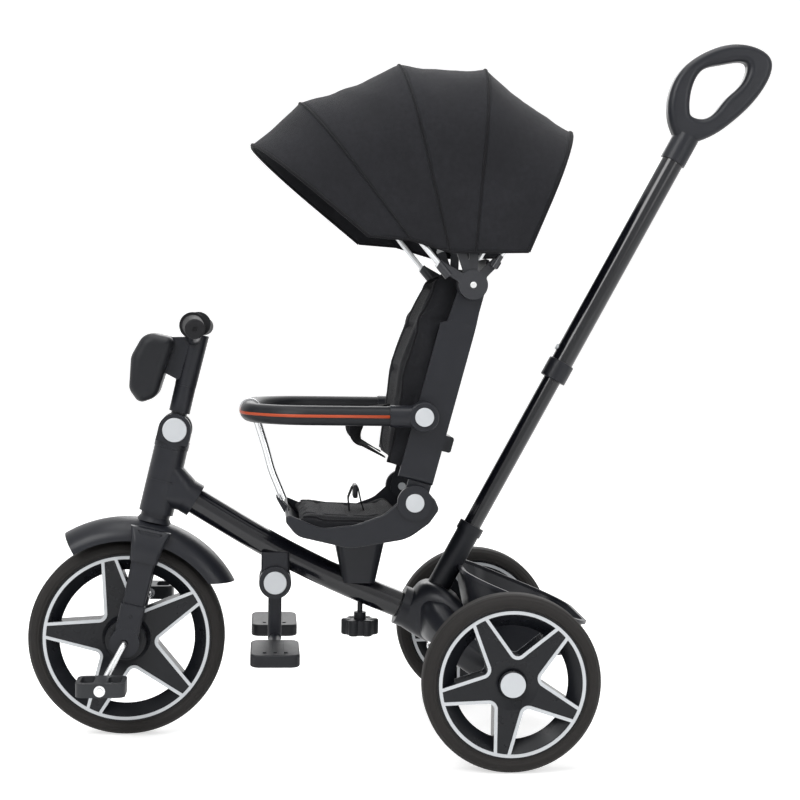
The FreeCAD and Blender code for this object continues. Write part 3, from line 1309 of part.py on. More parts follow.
def skin_lines():
    """Hem and crown of the skin at the visor's edge and over each bow, from the front back."""
    lines = [tuple(Vector(0, *pair) for pair in VISOR_LINE)]
    for hem, (leg, crown) in zip(SKIN_HEMS, BOW_LINES.values()):
        leg, crown = Vector(0, *leg), Vector(0, *crown)
        lines.append((Vector(0, *hem), crown + (crown - leg).normalize() * value("skin_offset")))
    return lines


def skin_section(line):
    """The closed outline of the skin where it crosses one bow's plane."""
    leg, crown = line
    hub = hub_point()
    along = (crown - leg).normalize()
    x = value("bow_x + skin_offset")
    bend = value("bow_bend + skin_offset")
    skin = value("canopy_skin")
    low, high = hub + leg, hub + crown
    outer = rounded_path([low + X * x, high + X * x, high - X * x, low - X * x], [bend] * 2)
    inner_x, inner_high = x - skin, high - along * skin
    inner = rounded_path([low - X * inner_x, inner_high - X * inner_x, inner_high + X * inner_x,
                          low + X * inner_x], [bend - skin] * 2)
    ends = [Part.makeLine(low - X * x, low - X * inner_x), Part.makeLine(low + X * inner_x, low + X * x)]
    return Part.Wire(outer.Edges + [ends[0]] + inner.Edges + [ends[1]])


def canopy_panel(name, first, second):
    lines = skin_lines()
    ends = [skin_section(lines[first]), skin_section(lines[second])]
    new_feature(name, Part.makeLoft(ends, True, True))


# ---------------------------------------------------------------------------------------------------
# Everything, then checks and files
# ---------------------------------------------------------------------------------------------------
front_wheel()
rear_wheel("left", 1)
rear_wheel("right", -1)
front_fork()
fork_covers()
front_fender()
stem_knuckle()
stem_buttons()
stem_tube()
handlebar()
handlebar_grips()
front_pod()
crank_rod()
pedal("left", 1)
pedal("right", -1)
main_tube()
head_shell()
head_bushes()
rear_basket()
rear_body()
rear_axle()
body_bolts()
handle_ferrule()
handle_lower_tube()
handle_upper_tube()
handle_collar()
handle_button()
handle_loop()
footrest_hinge()
footrest_pin()
footrest_leg()
footrest_pads()
seat_pan()
seat_cushion()
seat_knob()
recline_pins()
backrest_shell()
backrest_cushion()
recline_latch()
harness_straps()
crotch_strap()
bar_hubs()
safety_bar()
bar_pins()
bar_strut()
for place_in_stack, bow_name in enumerate(reversed(BOW_LINES)):
    canopy_bow(bow_name, place_in_stack)
for panel_number, panel_name in enumerate(("canopy_visor", "canopy_front_panel", "canopy_middle_panel",
                                           "canopy_rear_panel")):
    canopy_panel(panel_name, panel_number, panel_number + 1)

doc.recompute()
for item in doc.Objects:
    if "Invalid" in item.State or "Error" in item.State:
        raise RuntimeError(f"{item.Label} did not build: {item.State}")
os.makedirs("parts", exist_ok=True)
for node in NODES:
    if node.Shape.isNull() or not node.Shape.isValid() or node.Shape.Volume <= 0:
        raise RuntimeError(f"{node.Label} has no valid shape")
    node.Shape.exportStep(f"parts/{node.Label}.step")
print(f"{len(NODES)} nodes")
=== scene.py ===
"""The children's tricycle: finishes, padded liners, the folding canopy's cloth, straps and trims."""
import json
import math

import bmesh
import bpy
from mathutils import Matrix, Vector, noise


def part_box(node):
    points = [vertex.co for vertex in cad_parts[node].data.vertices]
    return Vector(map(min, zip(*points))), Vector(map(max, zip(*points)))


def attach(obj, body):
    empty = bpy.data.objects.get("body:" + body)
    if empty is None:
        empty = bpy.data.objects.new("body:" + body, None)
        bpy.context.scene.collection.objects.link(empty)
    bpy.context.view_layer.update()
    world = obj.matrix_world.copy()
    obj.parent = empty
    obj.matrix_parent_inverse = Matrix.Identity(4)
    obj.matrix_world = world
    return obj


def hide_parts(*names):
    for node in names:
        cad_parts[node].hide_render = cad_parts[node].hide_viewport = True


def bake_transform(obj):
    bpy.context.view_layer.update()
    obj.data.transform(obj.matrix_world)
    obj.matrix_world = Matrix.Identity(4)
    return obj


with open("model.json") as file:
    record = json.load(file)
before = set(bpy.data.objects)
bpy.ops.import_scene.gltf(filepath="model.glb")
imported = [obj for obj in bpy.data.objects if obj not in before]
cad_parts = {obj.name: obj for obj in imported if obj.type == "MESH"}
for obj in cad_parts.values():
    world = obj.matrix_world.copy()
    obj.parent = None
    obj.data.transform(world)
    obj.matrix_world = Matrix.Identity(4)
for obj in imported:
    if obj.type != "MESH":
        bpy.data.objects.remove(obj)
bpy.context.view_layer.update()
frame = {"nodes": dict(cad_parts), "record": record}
NODES = frame["nodes"]
JOINTS = {joint["name"]: joint for joint in frame["record"]["behaviour"]["joints"]}
HUB = Vector(JOINTS["canopy_fold"]["pos_m"])
PIVOT = Vector(JOINTS["recline"]["pos_m"])
ARM = Vector(JOINTS["bar_level"]["pos_m"])
BACK_LEAN = math.radians(14.6)


# ---------------------------------------------------------------------------------------------------
# Finishes
# ---------------------------------------------------------------------------------------------------
def new_group(name, inputs, outputs):
    group = bpy.data.node_groups.new(name, "ShaderNodeTree")
    for label, kind, default in inputs:
        group.interface.new_socket(label, in_out="INPUT", socket_type=kind).default_value = default
    for label, kind in outputs:
        group.interface.new_socket(label, in_out="OUTPUT", socket_type=kind)
    return group, group.nodes.new("NodeGroupInput"), group.nodes.new("NodeGroupOutput")


def node(tree, kind, **settings):
    made = tree.nodes.new(kind)
    for name, setting in settings.items():
        setattr(made, name, setting)
    return made


def math_node(tree, operation, first, second=None, clamp=False):
    made = node(tree, "ShaderNodeMath", operation=operation, use_clamp=clamp)
    for socket, item in zip(made.inputs, (first, second)):
        if item is None:
            continue
        if isinstance(item, (int, float)):
            socket.default_value = item
        else:
            tree.links.new(item, socket)
    return made.outputs[0]


def mixed_colour(tree, factor, first, second):
    made = node(tree, "ShaderNodeMix", data_type="RGBA")
    for socket, item in ((made.inputs[0], factor), (made.inputs[6], first), (made.inputs[7], second)):
        if isinstance(item, (int, float, tuple)):
            socket.default_value = item
        else:
            tree.links.new(item, socket)
    return made.outputs[2]


def moulding_group():
    """Uneven tone, patchy gloss and a fine spark-eroded grain, as a moulded or painted skin has."""
    group, enter, leave = new_group(
        "moulding",
        [("Tone", "NodeSocketColor", (0.04, 0.045, 0.055, 1)), ("Pale tone", "NodeSocketColor", (0.06, 0.065, 0.08, 1)),
         ("Gloss", "NodeSocketFloat", 0.4), ("Patchiness", "NodeSocketFloat", 0.1),
         ("Grain size", "NodeSocketFloat", 900), ("Grain depth", "NodeSocketFloat", 0.1)],
        [("Color", "NodeSocketColor"), ("Roughness", "NodeSocketFloat"), ("Normal", "NodeSocketVector")])
    place = node(group, "ShaderNodeTexCoord").outputs["Object"]
    cloud = node(group, "ShaderNodeTexNoise")
    cloud.inputs["Scale"].default_value = 9
    cloud.inputs["Detail"].default_value = 5
    speck = node(group, "ShaderNodeTexNoise")
    speck.inputs["Detail"].default_value = 3
    scuff = node(group, "ShaderNodeTexNoise")
    scuff.inputs["Scale"].default_value = 55
    scuff.inputs["Detail"].default_value = 6
    group.links.new(place, cloud.inputs["Vector"])
    group.links.new(place, speck.inputs["Vector"])
    group.links.new(place, scuff.inputs["Vector"])
    group.links.new(enter.outputs["Grain size"], speck.inputs["Scale"])
    patch = math_node(group, "MULTIPLY", math_node(group, "ADD", cloud.outputs[0], scuff.outputs[0]), 0.5)
    group.links.new(mixed_colour(group, patch, enter.outputs["Tone"], enter.outputs["Pale tone"]), leave.inputs["Color"])
    swing = math_node(group, "MULTIPLY", math_node(group, "SUBTRACT", patch, 0.5), enter.outputs["Patchiness"])
    group.links.new(math_node(group, "ADD", enter.outputs["Gloss"], swing, clamp=True), leave.inputs["Roughness"])
    bump = node(group, "ShaderNodeBump")
    bump.inputs["Distance"].default_value = 0.0004
    group.links.new(enter.outputs["Grain depth"], bump.inputs["Strength"])
    group.links.new(speck.outputs[0], bump.inputs["Height"])
    group.links.new(bump.outputs[0], leave.inputs["Normal"])
    return group


def weave_group():
    """Crossing threads on the cloth's own UV map, with slubs, fuzz and soft creases."""
    group, enter, leave = new_group(
        "weave",
        [("Tone", "NodeSocketColor", (0.04, 0.04, 0.045, 1)), ("Thread tone", "NodeSocketColor", (0.08, 0.08, 0.09, 1)),
         ("Threads", "NodeSocketFloat", 700), ("Depth", "NodeSocketFloat", 0.5)],
        [("Color", "NodeSocketColor"), ("Roughness", "NodeSocketFloat"), ("Normal", "NodeSocketVector")])
    place = node(group, "ShaderNodeTexCoord")
    threads = []
    for direction in ("X", "Y"):
        wave = node(group, "ShaderNodeTexWave", bands_direction=direction)
        wave.inputs["Distortion"].default_value = 0.6
        group.links.new(place.outputs["UV"], wave.inputs["Vector"])
        group.links.new(enter.outputs["Threads"], wave.inputs["Scale"])
        threads.append(wave.outputs["Fac"])
    cross = math_node(group, "MULTIPLY", threads[0], threads[1])
    slub = node(group, "ShaderNodeTexNoise")
    slub.inputs["Scale"].default_value = 160
    slub.inputs["Detail"].default_value = 6
    cloud = node(group, "ShaderNodeTexNoise")
    cloud.inputs["Scale"].default_value = 13
    cloud.inputs["Detail"].default_value = 4
    for texture in (slub, cloud):
        group.links.new(place.outputs["Object"], texture.inputs["Vector"])
    fade = math_node(group, "MULTIPLY", math_node(group, "ADD", cross, slub.outputs[0]), cloud.outputs[0])
    group.links.new(mixed_colour(group, fade, enter.outputs["Tone"], enter.outputs["Thread tone"]), leave.inputs["Color"])
    group.links.new(math_node(group, "ADD", math_node(group, "MULTIPLY", cloud.outputs[0], 0.2), 0.74), leave.inputs["Roughness"])
    height = math_node(group, "ADD", math_node(group, "MULTIPLY", cross, 0.5), math_node(group, "MULTIPLY", cloud.outputs[0], 2))
    bump = node(group, "ShaderNodeBump")
    bump.inputs["Distance"].default_value = 0.0008
    group.links.new(enter.outputs["Depth"], bump.inputs["Strength"])
    group.links.new(height, bump.inputs["Height"])
    group.links.new(bump.outputs[0], leave.inputs["Normal"])
    return group


MOULDING = moulding_group()
WEAVE = weave_group()


def new_material(name):
    material = bpy.data.materials.new(name)
    material.use_nodes = True
    return material, material.node_tree, material.node_tree.nodes["Principled BSDF"]


def wired(tree, group, shader, **values):
    made = node(tree, "ShaderNodeGroup", node_tree=group)
    for label, amount in values.items():
        made.inputs[label.replace("_", " ")].default_value = amount
    tree.links.new(made.outputs["Color"], shader.inputs["Base Color"])
    tree.links.new(made.outputs["Roughness"], shader.inputs["Roughness"])
    tree.links.new(made.outputs["Normal"], shader.inputs["Normal"])
    return made


def moulded(name, tone, pale, gloss, patchiness=0.1, size=900, depth=0.1, level=0.4, metallic=0.0, coat=0.0):
    material, tree, shader = new_material(name)
    shader.inputs["Metallic"].default_value = metallic
    shader.inputs["Specular IOR Level"].default_value = level
    shader.inputs["Coat Weight"].default_value = coat
    shader.inputs["Coat Roughness"].default_value = 0.12
    wired(tree, MOULDING, shader, Tone=(*tone, 1), Pale_tone=(*pale, 1), Gloss=gloss,
          Patchiness=patchiness, Grain_size=size, Grain_depth=depth)
    return material


def cloth(name, tone, thread, threads=620, depth=0.5, sheen=0.07):
    material, tree, shader = new_material(name)
    shader.inputs["Specular IOR Level"].default_value = 0.12
    shader.inputs["Sheen Weight"].default_value = sheen
    shader.inputs["Sheen Roughness"].default_value = 0.5
    wired(tree, WEAVE, shader, Tone=(*tone, 1), Thread_tone=(*thread, 1), Threads=threads, Depth=depth)
    return material


def bow_finish():
    """Plated tube, with black moulded arms and ferrules near the canopy's hub."""
    material, tree, shader = new_material("plated_bow_with_black_hub")
    place = node(tree, "ShaderNodeTexCoord").outputs["Object"]
    centred = node(tree, "ShaderNodeMapping")
    centred.inputs["Location"].default_value = (0, -HUB.y, -HUB.z)
    centred.inputs["Scale"].default_value = (0, 1, 1)
    tree.links.new(place, centred.inputs["Vector"])
    reach = node(tree, "ShaderNodeVectorMath", operation="LENGTH")
    tree.links.new(centred.outputs[0], reach.inputs[0])
    bright = math_node(tree, "GREATER_THAN", reach.outputs["Value"], 0.058)
    made = wired(tree, MOULDING, shader, Tone=(0.008, 0.009, 0.012, 1), Pale_tone=(0.017, 0.018, 0.023, 1), Gloss=0.36,
                 Patchiness=0.12, Grain_size=700, Grain_depth=0.08)
    tree.links.new(mixed_colour(tree, bright, made.outputs["Color"], (0.62, 0.63, 0.64, 1)), shader.inputs["Base Color"])
    tree.links.new(bright, shader.inputs["Metallic"])
    return material


def tyre_finish(name, tyre):
    """Matte foam rubber with fine concentric lines on its sidewalls."""
    low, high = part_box(tyre)
    material, tree, shader = new_material(name)
    place = node(tree, "ShaderNodeTexCoord").outputs["Object"]
    centred = node(tree, "ShaderNodeMapping")
    centred.inputs["Location"].default_value = (0, -(low[1] + high[1]) / 2, -(low[2] + high[2]) / 2)
    rings = node(tree, "ShaderNodeTexWave", wave_type="RINGS", rings_direction="X")
    rings.inputs["Scale"].default_value = 75
    tree.links.new(place, centred.inputs["Vector"])
    tree.links.new(centred.outputs[0], rings.inputs["Vector"])
    shader.inputs["Specular IOR Level"].default_value = 0.25
    made = wired(tree, MOULDING, shader, Tone=(0.011, 0.01, 0.0095, 1), Pale_tone=(0.024, 0.022, 0.021, 1), Gloss=0.74,
                 Patchiness=0.25, Grain_size=420, Grain_depth=0.35)
    bump = node(tree, "ShaderNodeBump")
    bump.inputs["Distance"].default_value = 0.0006
    bump.inputs["Strength"].default_value = 0.35
    tree.links.new(rings.outputs["Fac"], bump.inputs["Height"])
    tree.links.new(made.outputs["Normal"], bump.inputs["Normal"])
    tree.links.new(bump.outputs[0], shader.inputs["Normal"])
    return material


SATIN = moulded("satin_black_moulding", (0.008, 0.009, 0.012), (0.017, 0.018, 0.023), 0.36, 0.16, 1100, 0.12, level=0.26)
RIM_BLACK = moulded("rim_black_moulding", (0.004, 0.0045, 0.006), (0.009, 0.01, 0.013), 0.28, 0.12, 1300, 0.08, level=0.24)
DEEP = moulded("deep_black_moulding", (0.006, 0.0065, 0.008), (0.013, 0.014, 0.017), 0.45, 0.15, 800, 0.2, level=0.24)
TUBE = moulded("gloss_black_enamel", (0.003, 0.0033, 0.005), (0.006, 0.0065, 0.01), 0.16, 0.06, 300, 0.02, level=0.3, coat=0.35)
SILVER = moulded("silver_lacquer", (0.48, 0.5, 0.52), (0.6, 0.62, 0.64), 0.4, 0.12, 1500, 0.05, metallic=0.35)
PLATED = moulded("bright_plating", (0.6, 0.61, 0.62), (0.72, 0.73, 0.74), 0.24, 0.12, 500, 0.03, metallic=1.0)
GRIP = moulded("soft_grip", (0.007, 0.007, 0.008), (0.016, 0.016, 0.018), 0.68, 0.15, 500, 0.5, level=0.2)
PEDAL = moulded("pedal_grey_moulding", (0.016, 0.017, 0.019), (0.034, 0.036, 0.04), 0.5, 0.15, 600, 0.3, level=0.3)
ORANGE = moulded("orange_inlay", (0.4, 0.05, 0.012), (0.5, 0.075, 0.02), 0.42, 0.1, 900, 0.1)
WHITE_DOT = moulded("white_dot", (0.75, 0.75, 0.75), (0.82, 0.82, 0.82), 0.5)
CANOPY = cloth("canopy_cloth", (0.011, 0.0112, 0.013), (0.028, 0.0285, 0.033), 560, 0.35)
LINER = cloth("liner_cloth", (0.008, 0.0083, 0.01), (0.022, 0.0225, 0.026), 420, 0.6)
PIPING = cloth("piping_cloth", (0.006, 0.006, 0.007), (0.016, 0.016, 0.019), 900, 0.4)
WEBBING = cloth("strap_webbing", (0.004, 0.004, 0.005), (0.013, 0.013, 0.015), 330, 0.8, 0.04)
BOWS = bow_finish()

FINISHES = {
    "front_rim": RIM_BLACK, "rear_rim_left": RIM_BLACK, "rear_rim_right": RIM_BLACK,
    "front_rim_trim": SILVER, "rear_rim_trim_left": SILVER, "rear_rim_trim_right": SILVER,
    "front_tyre": tyre_finish("front_foam_tyre", "front_tyre"),
    "rear_tyre_left": tyre_finish("rear_foam_tyre", "rear_tyre_left"),
    "stem_button_left": SILVER, "stem_button_right": SILVER, "recline_pins": SILVER, "bar_pins": SILVER,
    "footrest_pin": SILVER, "handle_button": SILVER, "crank_rod": PLATED, "rear_axle": PLATED, "body_bolts": PLATED,
    "bar_strut": PLATED, "main_tube": TUBE, "handle_lower_tube": TUBE, "handle_upper_tube": TUBE,
    "handlebar_grips": GRIP, "pedal_left": PEDAL, "pedal_right": PEDAL, "footrest_pads": DEEP, "seat_knob": DEEP,
    "safety_bar": DEEP, "front_pod": DEEP, "canopy_rear_bow": BOWS, "canopy_third_bow": BOWS,
    "canopy_second_bow": BOWS, "canopy_front_bow": BOWS,
}
FINISHES["rear_tyre_right"] = FINISHES["rear_tyre_left"]


def finish_with(piece, material):
    piece.data.materials.clear()
    piece.data.materials.append(material)


for name, part in NODES.items():
    finish_with(part, FINISHES.get(name, SATIN))


# ---------------------------------------------------------------------------------------------------
# Making pieces
# ---------------------------------------------------------------------------------------------------
def only(piece):
    bpy.ops.object.select_all(action="DESELECT")
    piece.select_set(True)
    bpy.context.view_layer.objects.active = piece


def applied(piece):
    only(piece)
    for modifier in list(piece.modifiers):
        bpy.ops.object.modifier_apply(modifier=modifier.name)
    return piece


def settled(piece):
    """Put the piece's place into its mesh."""
    only(piece)
    bpy.ops.object.transform_apply(location=True, rotation=True, scale=True)
    return piece


def from_mesh(name, points, faces, uvs=None):
    mesh = bpy.data.meshes.new(name)
    mesh.from_pydata([tuple(point) for point in points], [], faces)
    if uvs:
        layer = mesh.uv_layers.new(name="cloth")
        for loop in mesh.loops:
            layer.data[loop.index].uv = uvs[loop.vertex_index]
    piece = bpy.data.objects.new(name, mesh)
    bpy.context.scene.collection.objects.link(piece)
    for polygon in mesh.polygons:
        polygon.use_smooth = True
    return piece


def piping(name, points, radius, closed=False, material=None):
    """A round corded edge through the points."""
    curve = bpy.data.curves.new(name, "CURVE")
    curve.dimensions = "3D"
    curve.bevel_depth = radius
    curve.bevel_resolution = 3
    curve.use_fill_caps = True
    spline = curve.splines.new("POLY")
    spline.points.add(len(points) - 1)
    for item, point in zip(spline.points, points):
        item.co = (*point, 1)
    spline.use_cyclic_u = closed
    piece = bpy.data.objects.new(name, curve)
    bpy.context.scene.collection.objects.link(piece)
    only(piece)
    bpy.ops.object.convert(target="MESH")
    piece = bpy.context.object
    bpy.ops.object.shade_smooth()
    finish_with(piece, material or PIPING)
    return piece


def joined(name, pieces):
    only(pieces[0])
    for piece in pieces[1:]:
        piece.select_set(True)
    bpy.ops.object.join()
    pieces[0].name = name
    return pieces[0]


def at_back(u, w, x=0.0):
    """A point in the backrest's frame: u rearward and w up from the recline pivot."""
    return PIVOT + Vector((x, u * math.cos(BACK_LEAN) + w * math.sin(BACK_LEAN), w * math.cos(BACK_LEAN) - u * math.sin(BACK_LEAN)))


def rounded_line(corners, bends, steps=8):
    """Points along straight runs joined by arcs."""
    points = [corners[0].copy()]
    for before, corner, after, radius in zip(corners, corners[1:], corners[2:], bends):
        back, ahead = (before - corner).normalized(), (after - corner).normalized()
        half = back.angle(ahead) / 2
        if half > math.pi / 2 - 0.01:
            points.append(corner.copy())
            continue
        first, last = corner + back * (radius / math.tan(half)), corner + ahead * (radius / math.tan(half))
        middle = corner + (back + ahead).normalized() * (radius / math.sin(half))
        start, sweep = first - middle, (first - middle).angle(last - middle)
        axis = start.cross(last - middle).normalized()
        for step in range(steps + 1):
            points.append(middle + Matrix.Rotation(sweep * step / steps, 3, axis) @ start)
    points.append(corners[-1].copy())
    return points


def box_uv(piece, size=1.0):
    """A UV map laid over each face from its flattest side, in metres."""
    mesh = piece.data
    layer = mesh.uv_layers.new(name="cloth") if not mesh.uv_layers else mesh.uv_layers[0]
    for polygon in mesh.polygons:
        normal = [abs(part) for part in polygon.normal]
        flat = normal.index(max(normal))
        first, second = [index for index in range(3) if index != flat]
        for loop in polygon.loop_indices:
            point = mesh.vertices[mesh.loops[loop].vertex_index].co
            layer.data[loop].uv = (point[first] * size, point[second] * size)


# ---------------------------------------------------------------------------------------------------
# Padded liners
# ---------------------------------------------------------------------------------------------------
def puffed(node_name, name, shrink, voxel, pressure, cap):
    """A crowned pad grown by cloth pressure from the plain solid, a little smaller to begin with."""
    mesh = NODES[node_name].data.copy()
    pad = bpy.data.objects.new(name, mesh)
    bpy.context.scene.collection.objects.link(pad)
    mesh.materials.clear()
    work = bmesh.new()
    work.from_mesh(mesh)
    bmesh.ops.remove_doubles(work, verts=work.verts, dist=2e-5)
    bmesh.ops.recalc_face_normals(work, faces=work.faces)
    work.to_mesh(mesh)
    work.free()
    remesh = pad.modifiers.new("even_mesh", "REMESH")
    remesh.mode = "VOXEL"
    remesh.voxel_size = voxel
    applied(pad)
    mesh = pad.data
    inward = [vertex.normal * -shrink for vertex in mesh.vertices]
    for vertex, move in zip(mesh.vertices, inward):
        vertex.co += move
    start = [vertex.co.copy() for vertex in mesh.vertices]
    swell = pad.modifiers.new("swell", "CLOTH")
    swell.settings.quality = 5
    swell.settings.use_pressure = True
    swell.settings.uniform_pressure_force = pressure
    swell.settings.tension_stiffness = 20
    swell.settings.effector_weights.gravity = 0
    scene = bpy.context.scene
    for step in range(1, 21):
        scene.frame_set(step)
    shown = pad.evaluated_get(bpy.context.evaluated_depsgraph_get())
    grown = [vertex.co.copy() for vertex in shown.data.vertices]
    pad.modifiers.remove(swell)
    scene.frame_set(1)
    for vertex, old, new in zip(pad.data.vertices, start, grown):
        move = new - old
        vertex.co = old + move * min(1, cap / max(move.length, 1e-9))
    smooth = pad.modifiers.new("finer", "SUBSURF")
    smooth.levels = smooth.render_levels = 1
    applied(pad)
    for polygon in pad.data.polygons:
        polygon.use_smooth = True
    return pad


def channel(distance, width):
    """How deep a sewn channel is at a distance from its seam, from 0 to 1."""
    return math.exp(-(distance / width) ** 2)


def back_liner():
    pad = puffed("backrest_cushion", "back_liner", 0.004, 0.005, 4, 0.006)
    for vertex in pad.data.vertices:
        offset = vertex.co - PIVOT
        u = offset.y * math.cos(BACK_LEAN) - offset.z * math.sin(BACK_LEAN)
        w = offset.y * math.sin(BACK_LEAN) + offset.z * math.cos(BACK_LEAN)
        if vertex.normal.y > -0.35:
            continue
        side = channel(abs(offset.x) - 0.068, 0.0045)
        between = 1 if abs(offset.x) < 0.066 else 0
        rows = sum(channel(w - row, 0.0045) for row in (0.105, 0.175, 0.245, 0.31)) * between
        dish = 0.009 * between * math.cos(offset.x / 0.068 * math.pi / 2)
        vertex.co += Vector((0, math.cos(BACK_LEAN), -math.sin(BACK_LEAN))) * (0.005 * side + 0.0045 * min(1, rows) + dish)
    box_uv(pad)
    finish_with(pad, LINER)
    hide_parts("backrest_cushion")
    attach(pad, "backrest")
    edges = []
    for sign in (-1, 1):
        route = [at_back(u, w, sign * x) for u, w, x in
                 ((-0.052, 0.05, 0.106), (-0.062, 0.11, 0.106), (-0.07, 0.185, 0.106), (-0.063, 0.25, 0.102),
                  (-0.056, 0.29, 0.088), (-0.048, 0.325, 0.07), (-0.03, 0.345, 0.055))]
        edges.append(piping(f"liner_edge_{sign}", snapped(pad, smooth_route(route, 60)), 0.0018))
    seam = joined("back_liner_piping", edges)
    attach(seam, "backrest")


def smooth_route(points, count):
    """Evenly parted points on a smooth curve through a few."""
    result = []
    for index in range(count + 1):
        place = index / count * (len(points) - 1)
        at = min(int(place), len(points) - 2)
        t = place - at
        p0, p1 = points[max(at - 1, 0)], points[at]
        p2, p3 = points[at + 1], points[min(at + 2, len(points) - 1)]
        result.append(0.5 * ((2 * p1) + (p2 - p0) * t + (2 * p0 - 5 * p1 + 4 * p2 - p3) * t ** 2
                             + (3 * p1 - p0 - 3 * p2 + p3) * t ** 3))
    return result


def snapped(pad, points, proud=0.0006):
    moved = []
    for point in points:
        hit, place, normal, _ = pad.closest_point_on_mesh(point)
        moved.append(place + normal * proud if hit else point)
    return moved


def seat_liner():
    pad = puffed("seat_cushion", "seat_liner", 0.003, 0.0045, 3, 0.0045)
    low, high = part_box("seat_cushion")
    middle = (low[1] + high[1]) / 2
    for vertex in pad.data.vertices:
        if vertex.normal.z < 0.35:
            continue
        side = channel(abs(vertex.co.x) - 0.078, 0.004)
        inside = 1 if abs(vertex.co.x) < 0.076 else 0
        rows = sum(channel(vertex.co.y - middle - row, 0.004) for row in (-0.045, 0.0, 0.045)) * inside
        vertex.co.z -= 0.004 * side + 0.003 * min(1, rows)
    box_uv(pad)
    finish_with(pad, LINER)
    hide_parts("seat_cushion")
    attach(pad, "frame")
    edges = []
    for sign in (-1, 1):
        route = [Vector((sign * 0.108, low[1] + 0.012 + t * (high[1] - low[1] - 0.024), high[2])) for t in
                 (0, 0.15, 0.3, 0.45, 0.6, 0.75, 0.9, 1)]
        edges.append(piping(f"seat_edge_{sign}", snapped(pad, smooth_route(route, 50)), 0.0018))
    seam = joined("seat_liner_piping", edges)
    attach(seam, "frame")


# ---------------------------------------------------------------------------------------------------
# Canopy: one curved sheet sewn over four bows, in the panels that its seams make
# ---------------------------------------------------------------------------------------------------
HALF_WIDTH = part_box("canopy_front_panel")[1][0] - 0.0006
CORNER = 0.122
# Hem and crown of the cloth at the visor's edge and over each bow, rearward and up from the hub.
CLOTH_LINES = [((-0.149, 0.066), (-0.316, 0.201)), ((-0.090, 0.062), (-0.2475, 0.2633)),
               ((-0.034, 0.046), (-0.1031, 0.3227)), ((0.002, 0.046), (0.0246, 0.319)),
               ((0.078, 0.048), (0.1536, 0.23))]
ROUND = 72


def arch(line):
    """Points of the cloth's outline over one bow, from the right hem over the crown to the left hem."""
    hem, crown = (HUB + Vector((0, *pair)) for pair in line)
    up = (crown - hem).normalized()
    length = (crown - hem).length
    spans = ((0.0, 0.30), (0.30, 0.44), (0.44, 0.56), (0.56, 0.70), (0.70, 1.0))
    points = []
    for index in range(ROUND + 1):
        s = index / ROUND
        if s <= spans[0][1]:
            x, rise = -HALF_WIDTH, (length - CORNER) * s / 0.30
        elif s <= spans[1][1]:
            angle = (s - 0.30) / 0.14 * math.pi / 2
            x, rise = -HALF_WIDTH + CORNER * (1 - math.cos(angle)), length - CORNER + CORNER * math.sin(angle)
        elif s <= spans[2][1]:
            x, rise = (HALF_WIDTH - CORNER) * ((s - 0.5) / 0.06), length
        elif s <= spans[3][1]:
            angle = (0.70 - s) / 0.14 * math.pi / 2
            x, rise = HALF_WIDTH - CORNER * (1 - math.cos(angle)), length - CORNER + CORNER * math.sin(angle)
        else:
            x, rise = HALF_WIDTH, (length - CORNER) * (1 - s) / 0.30
        points.append(hem + up * rise + Vector((x, 0, 0)))
    return points


def panel(name, first, second, sag, pucker):
    """Cloth between two bows: taut along them, sunk a little between, puckered where it is sewn."""
    one, two = arch(CLOTH_LINES[first]), arch(CLOTH_LINES[second])
    rows = 18
    points, uvs = [], []
    around = [0.0]
    for index in range(1, ROUND + 1):
        around.append(around[-1] + (one[index] - one[index - 1]).length)
    for row in range(rows + 1):
        t = row / rows
        for index in range(ROUND + 1):
            point = one[index].lerp(two[index], t)
            roof = min(1, max(0, (HALF_WIDTH - abs(point.x)) / (CORNER * 0.5)))
            inward = Vector((0, HUB.y - point.y, HUB.z - point.z)).normalized()
            taut = math.sin(math.pi * t) ** 0.6
            ripple = noise.noise(Vector((point.x * 9, point.y * 30, point.z * 42))) * pucker * taut
            point = point + inward * max(0.0, sag * math.sin(math.pi * t) + ripple) * roof
            point.x += math.copysign(abs(ripple), point.x) * (1 - roof)
            points.append(point)
            uvs.append((around[index], t * (two[ROUND // 2] - one[ROUND // 2]).length))
    faces = []
    for row in range(rows):
        for index in range(ROUND):
            a = row * (ROUND + 1) + index
            faces.append((a, a + ROUND + 1, a + ROUND + 2, a + 1))
    piece = from_mesh(name, points, faces, uvs)
    outward = piece.data.polygons[ROUND // 2].normal
    if outward.z < 0:
        piece.data.flip_normals()
    wall = piece.modifiers.new("cloth_thickness", "SOLIDIFY")
    wall.thickness = 0.0014
    wall.offset = -1
    applied(piece)
    finish_with(piece, CANOPY)
    return piece


def bisector(first, second):
    """Where the cloth between two bows starts and stops following each of them."""
    crowns = [Vector((0, *CLOTH_LINES[index][1])) for index in (first, second)]
    middle = (crowns[0].normalized() + crowns[1].normalized()).normalized()
    across = Vector((0, middle.z, -middle.y))
    return HUB + across * across.dot(crowns[0]), HUB + across * across.dot(crowns[1])


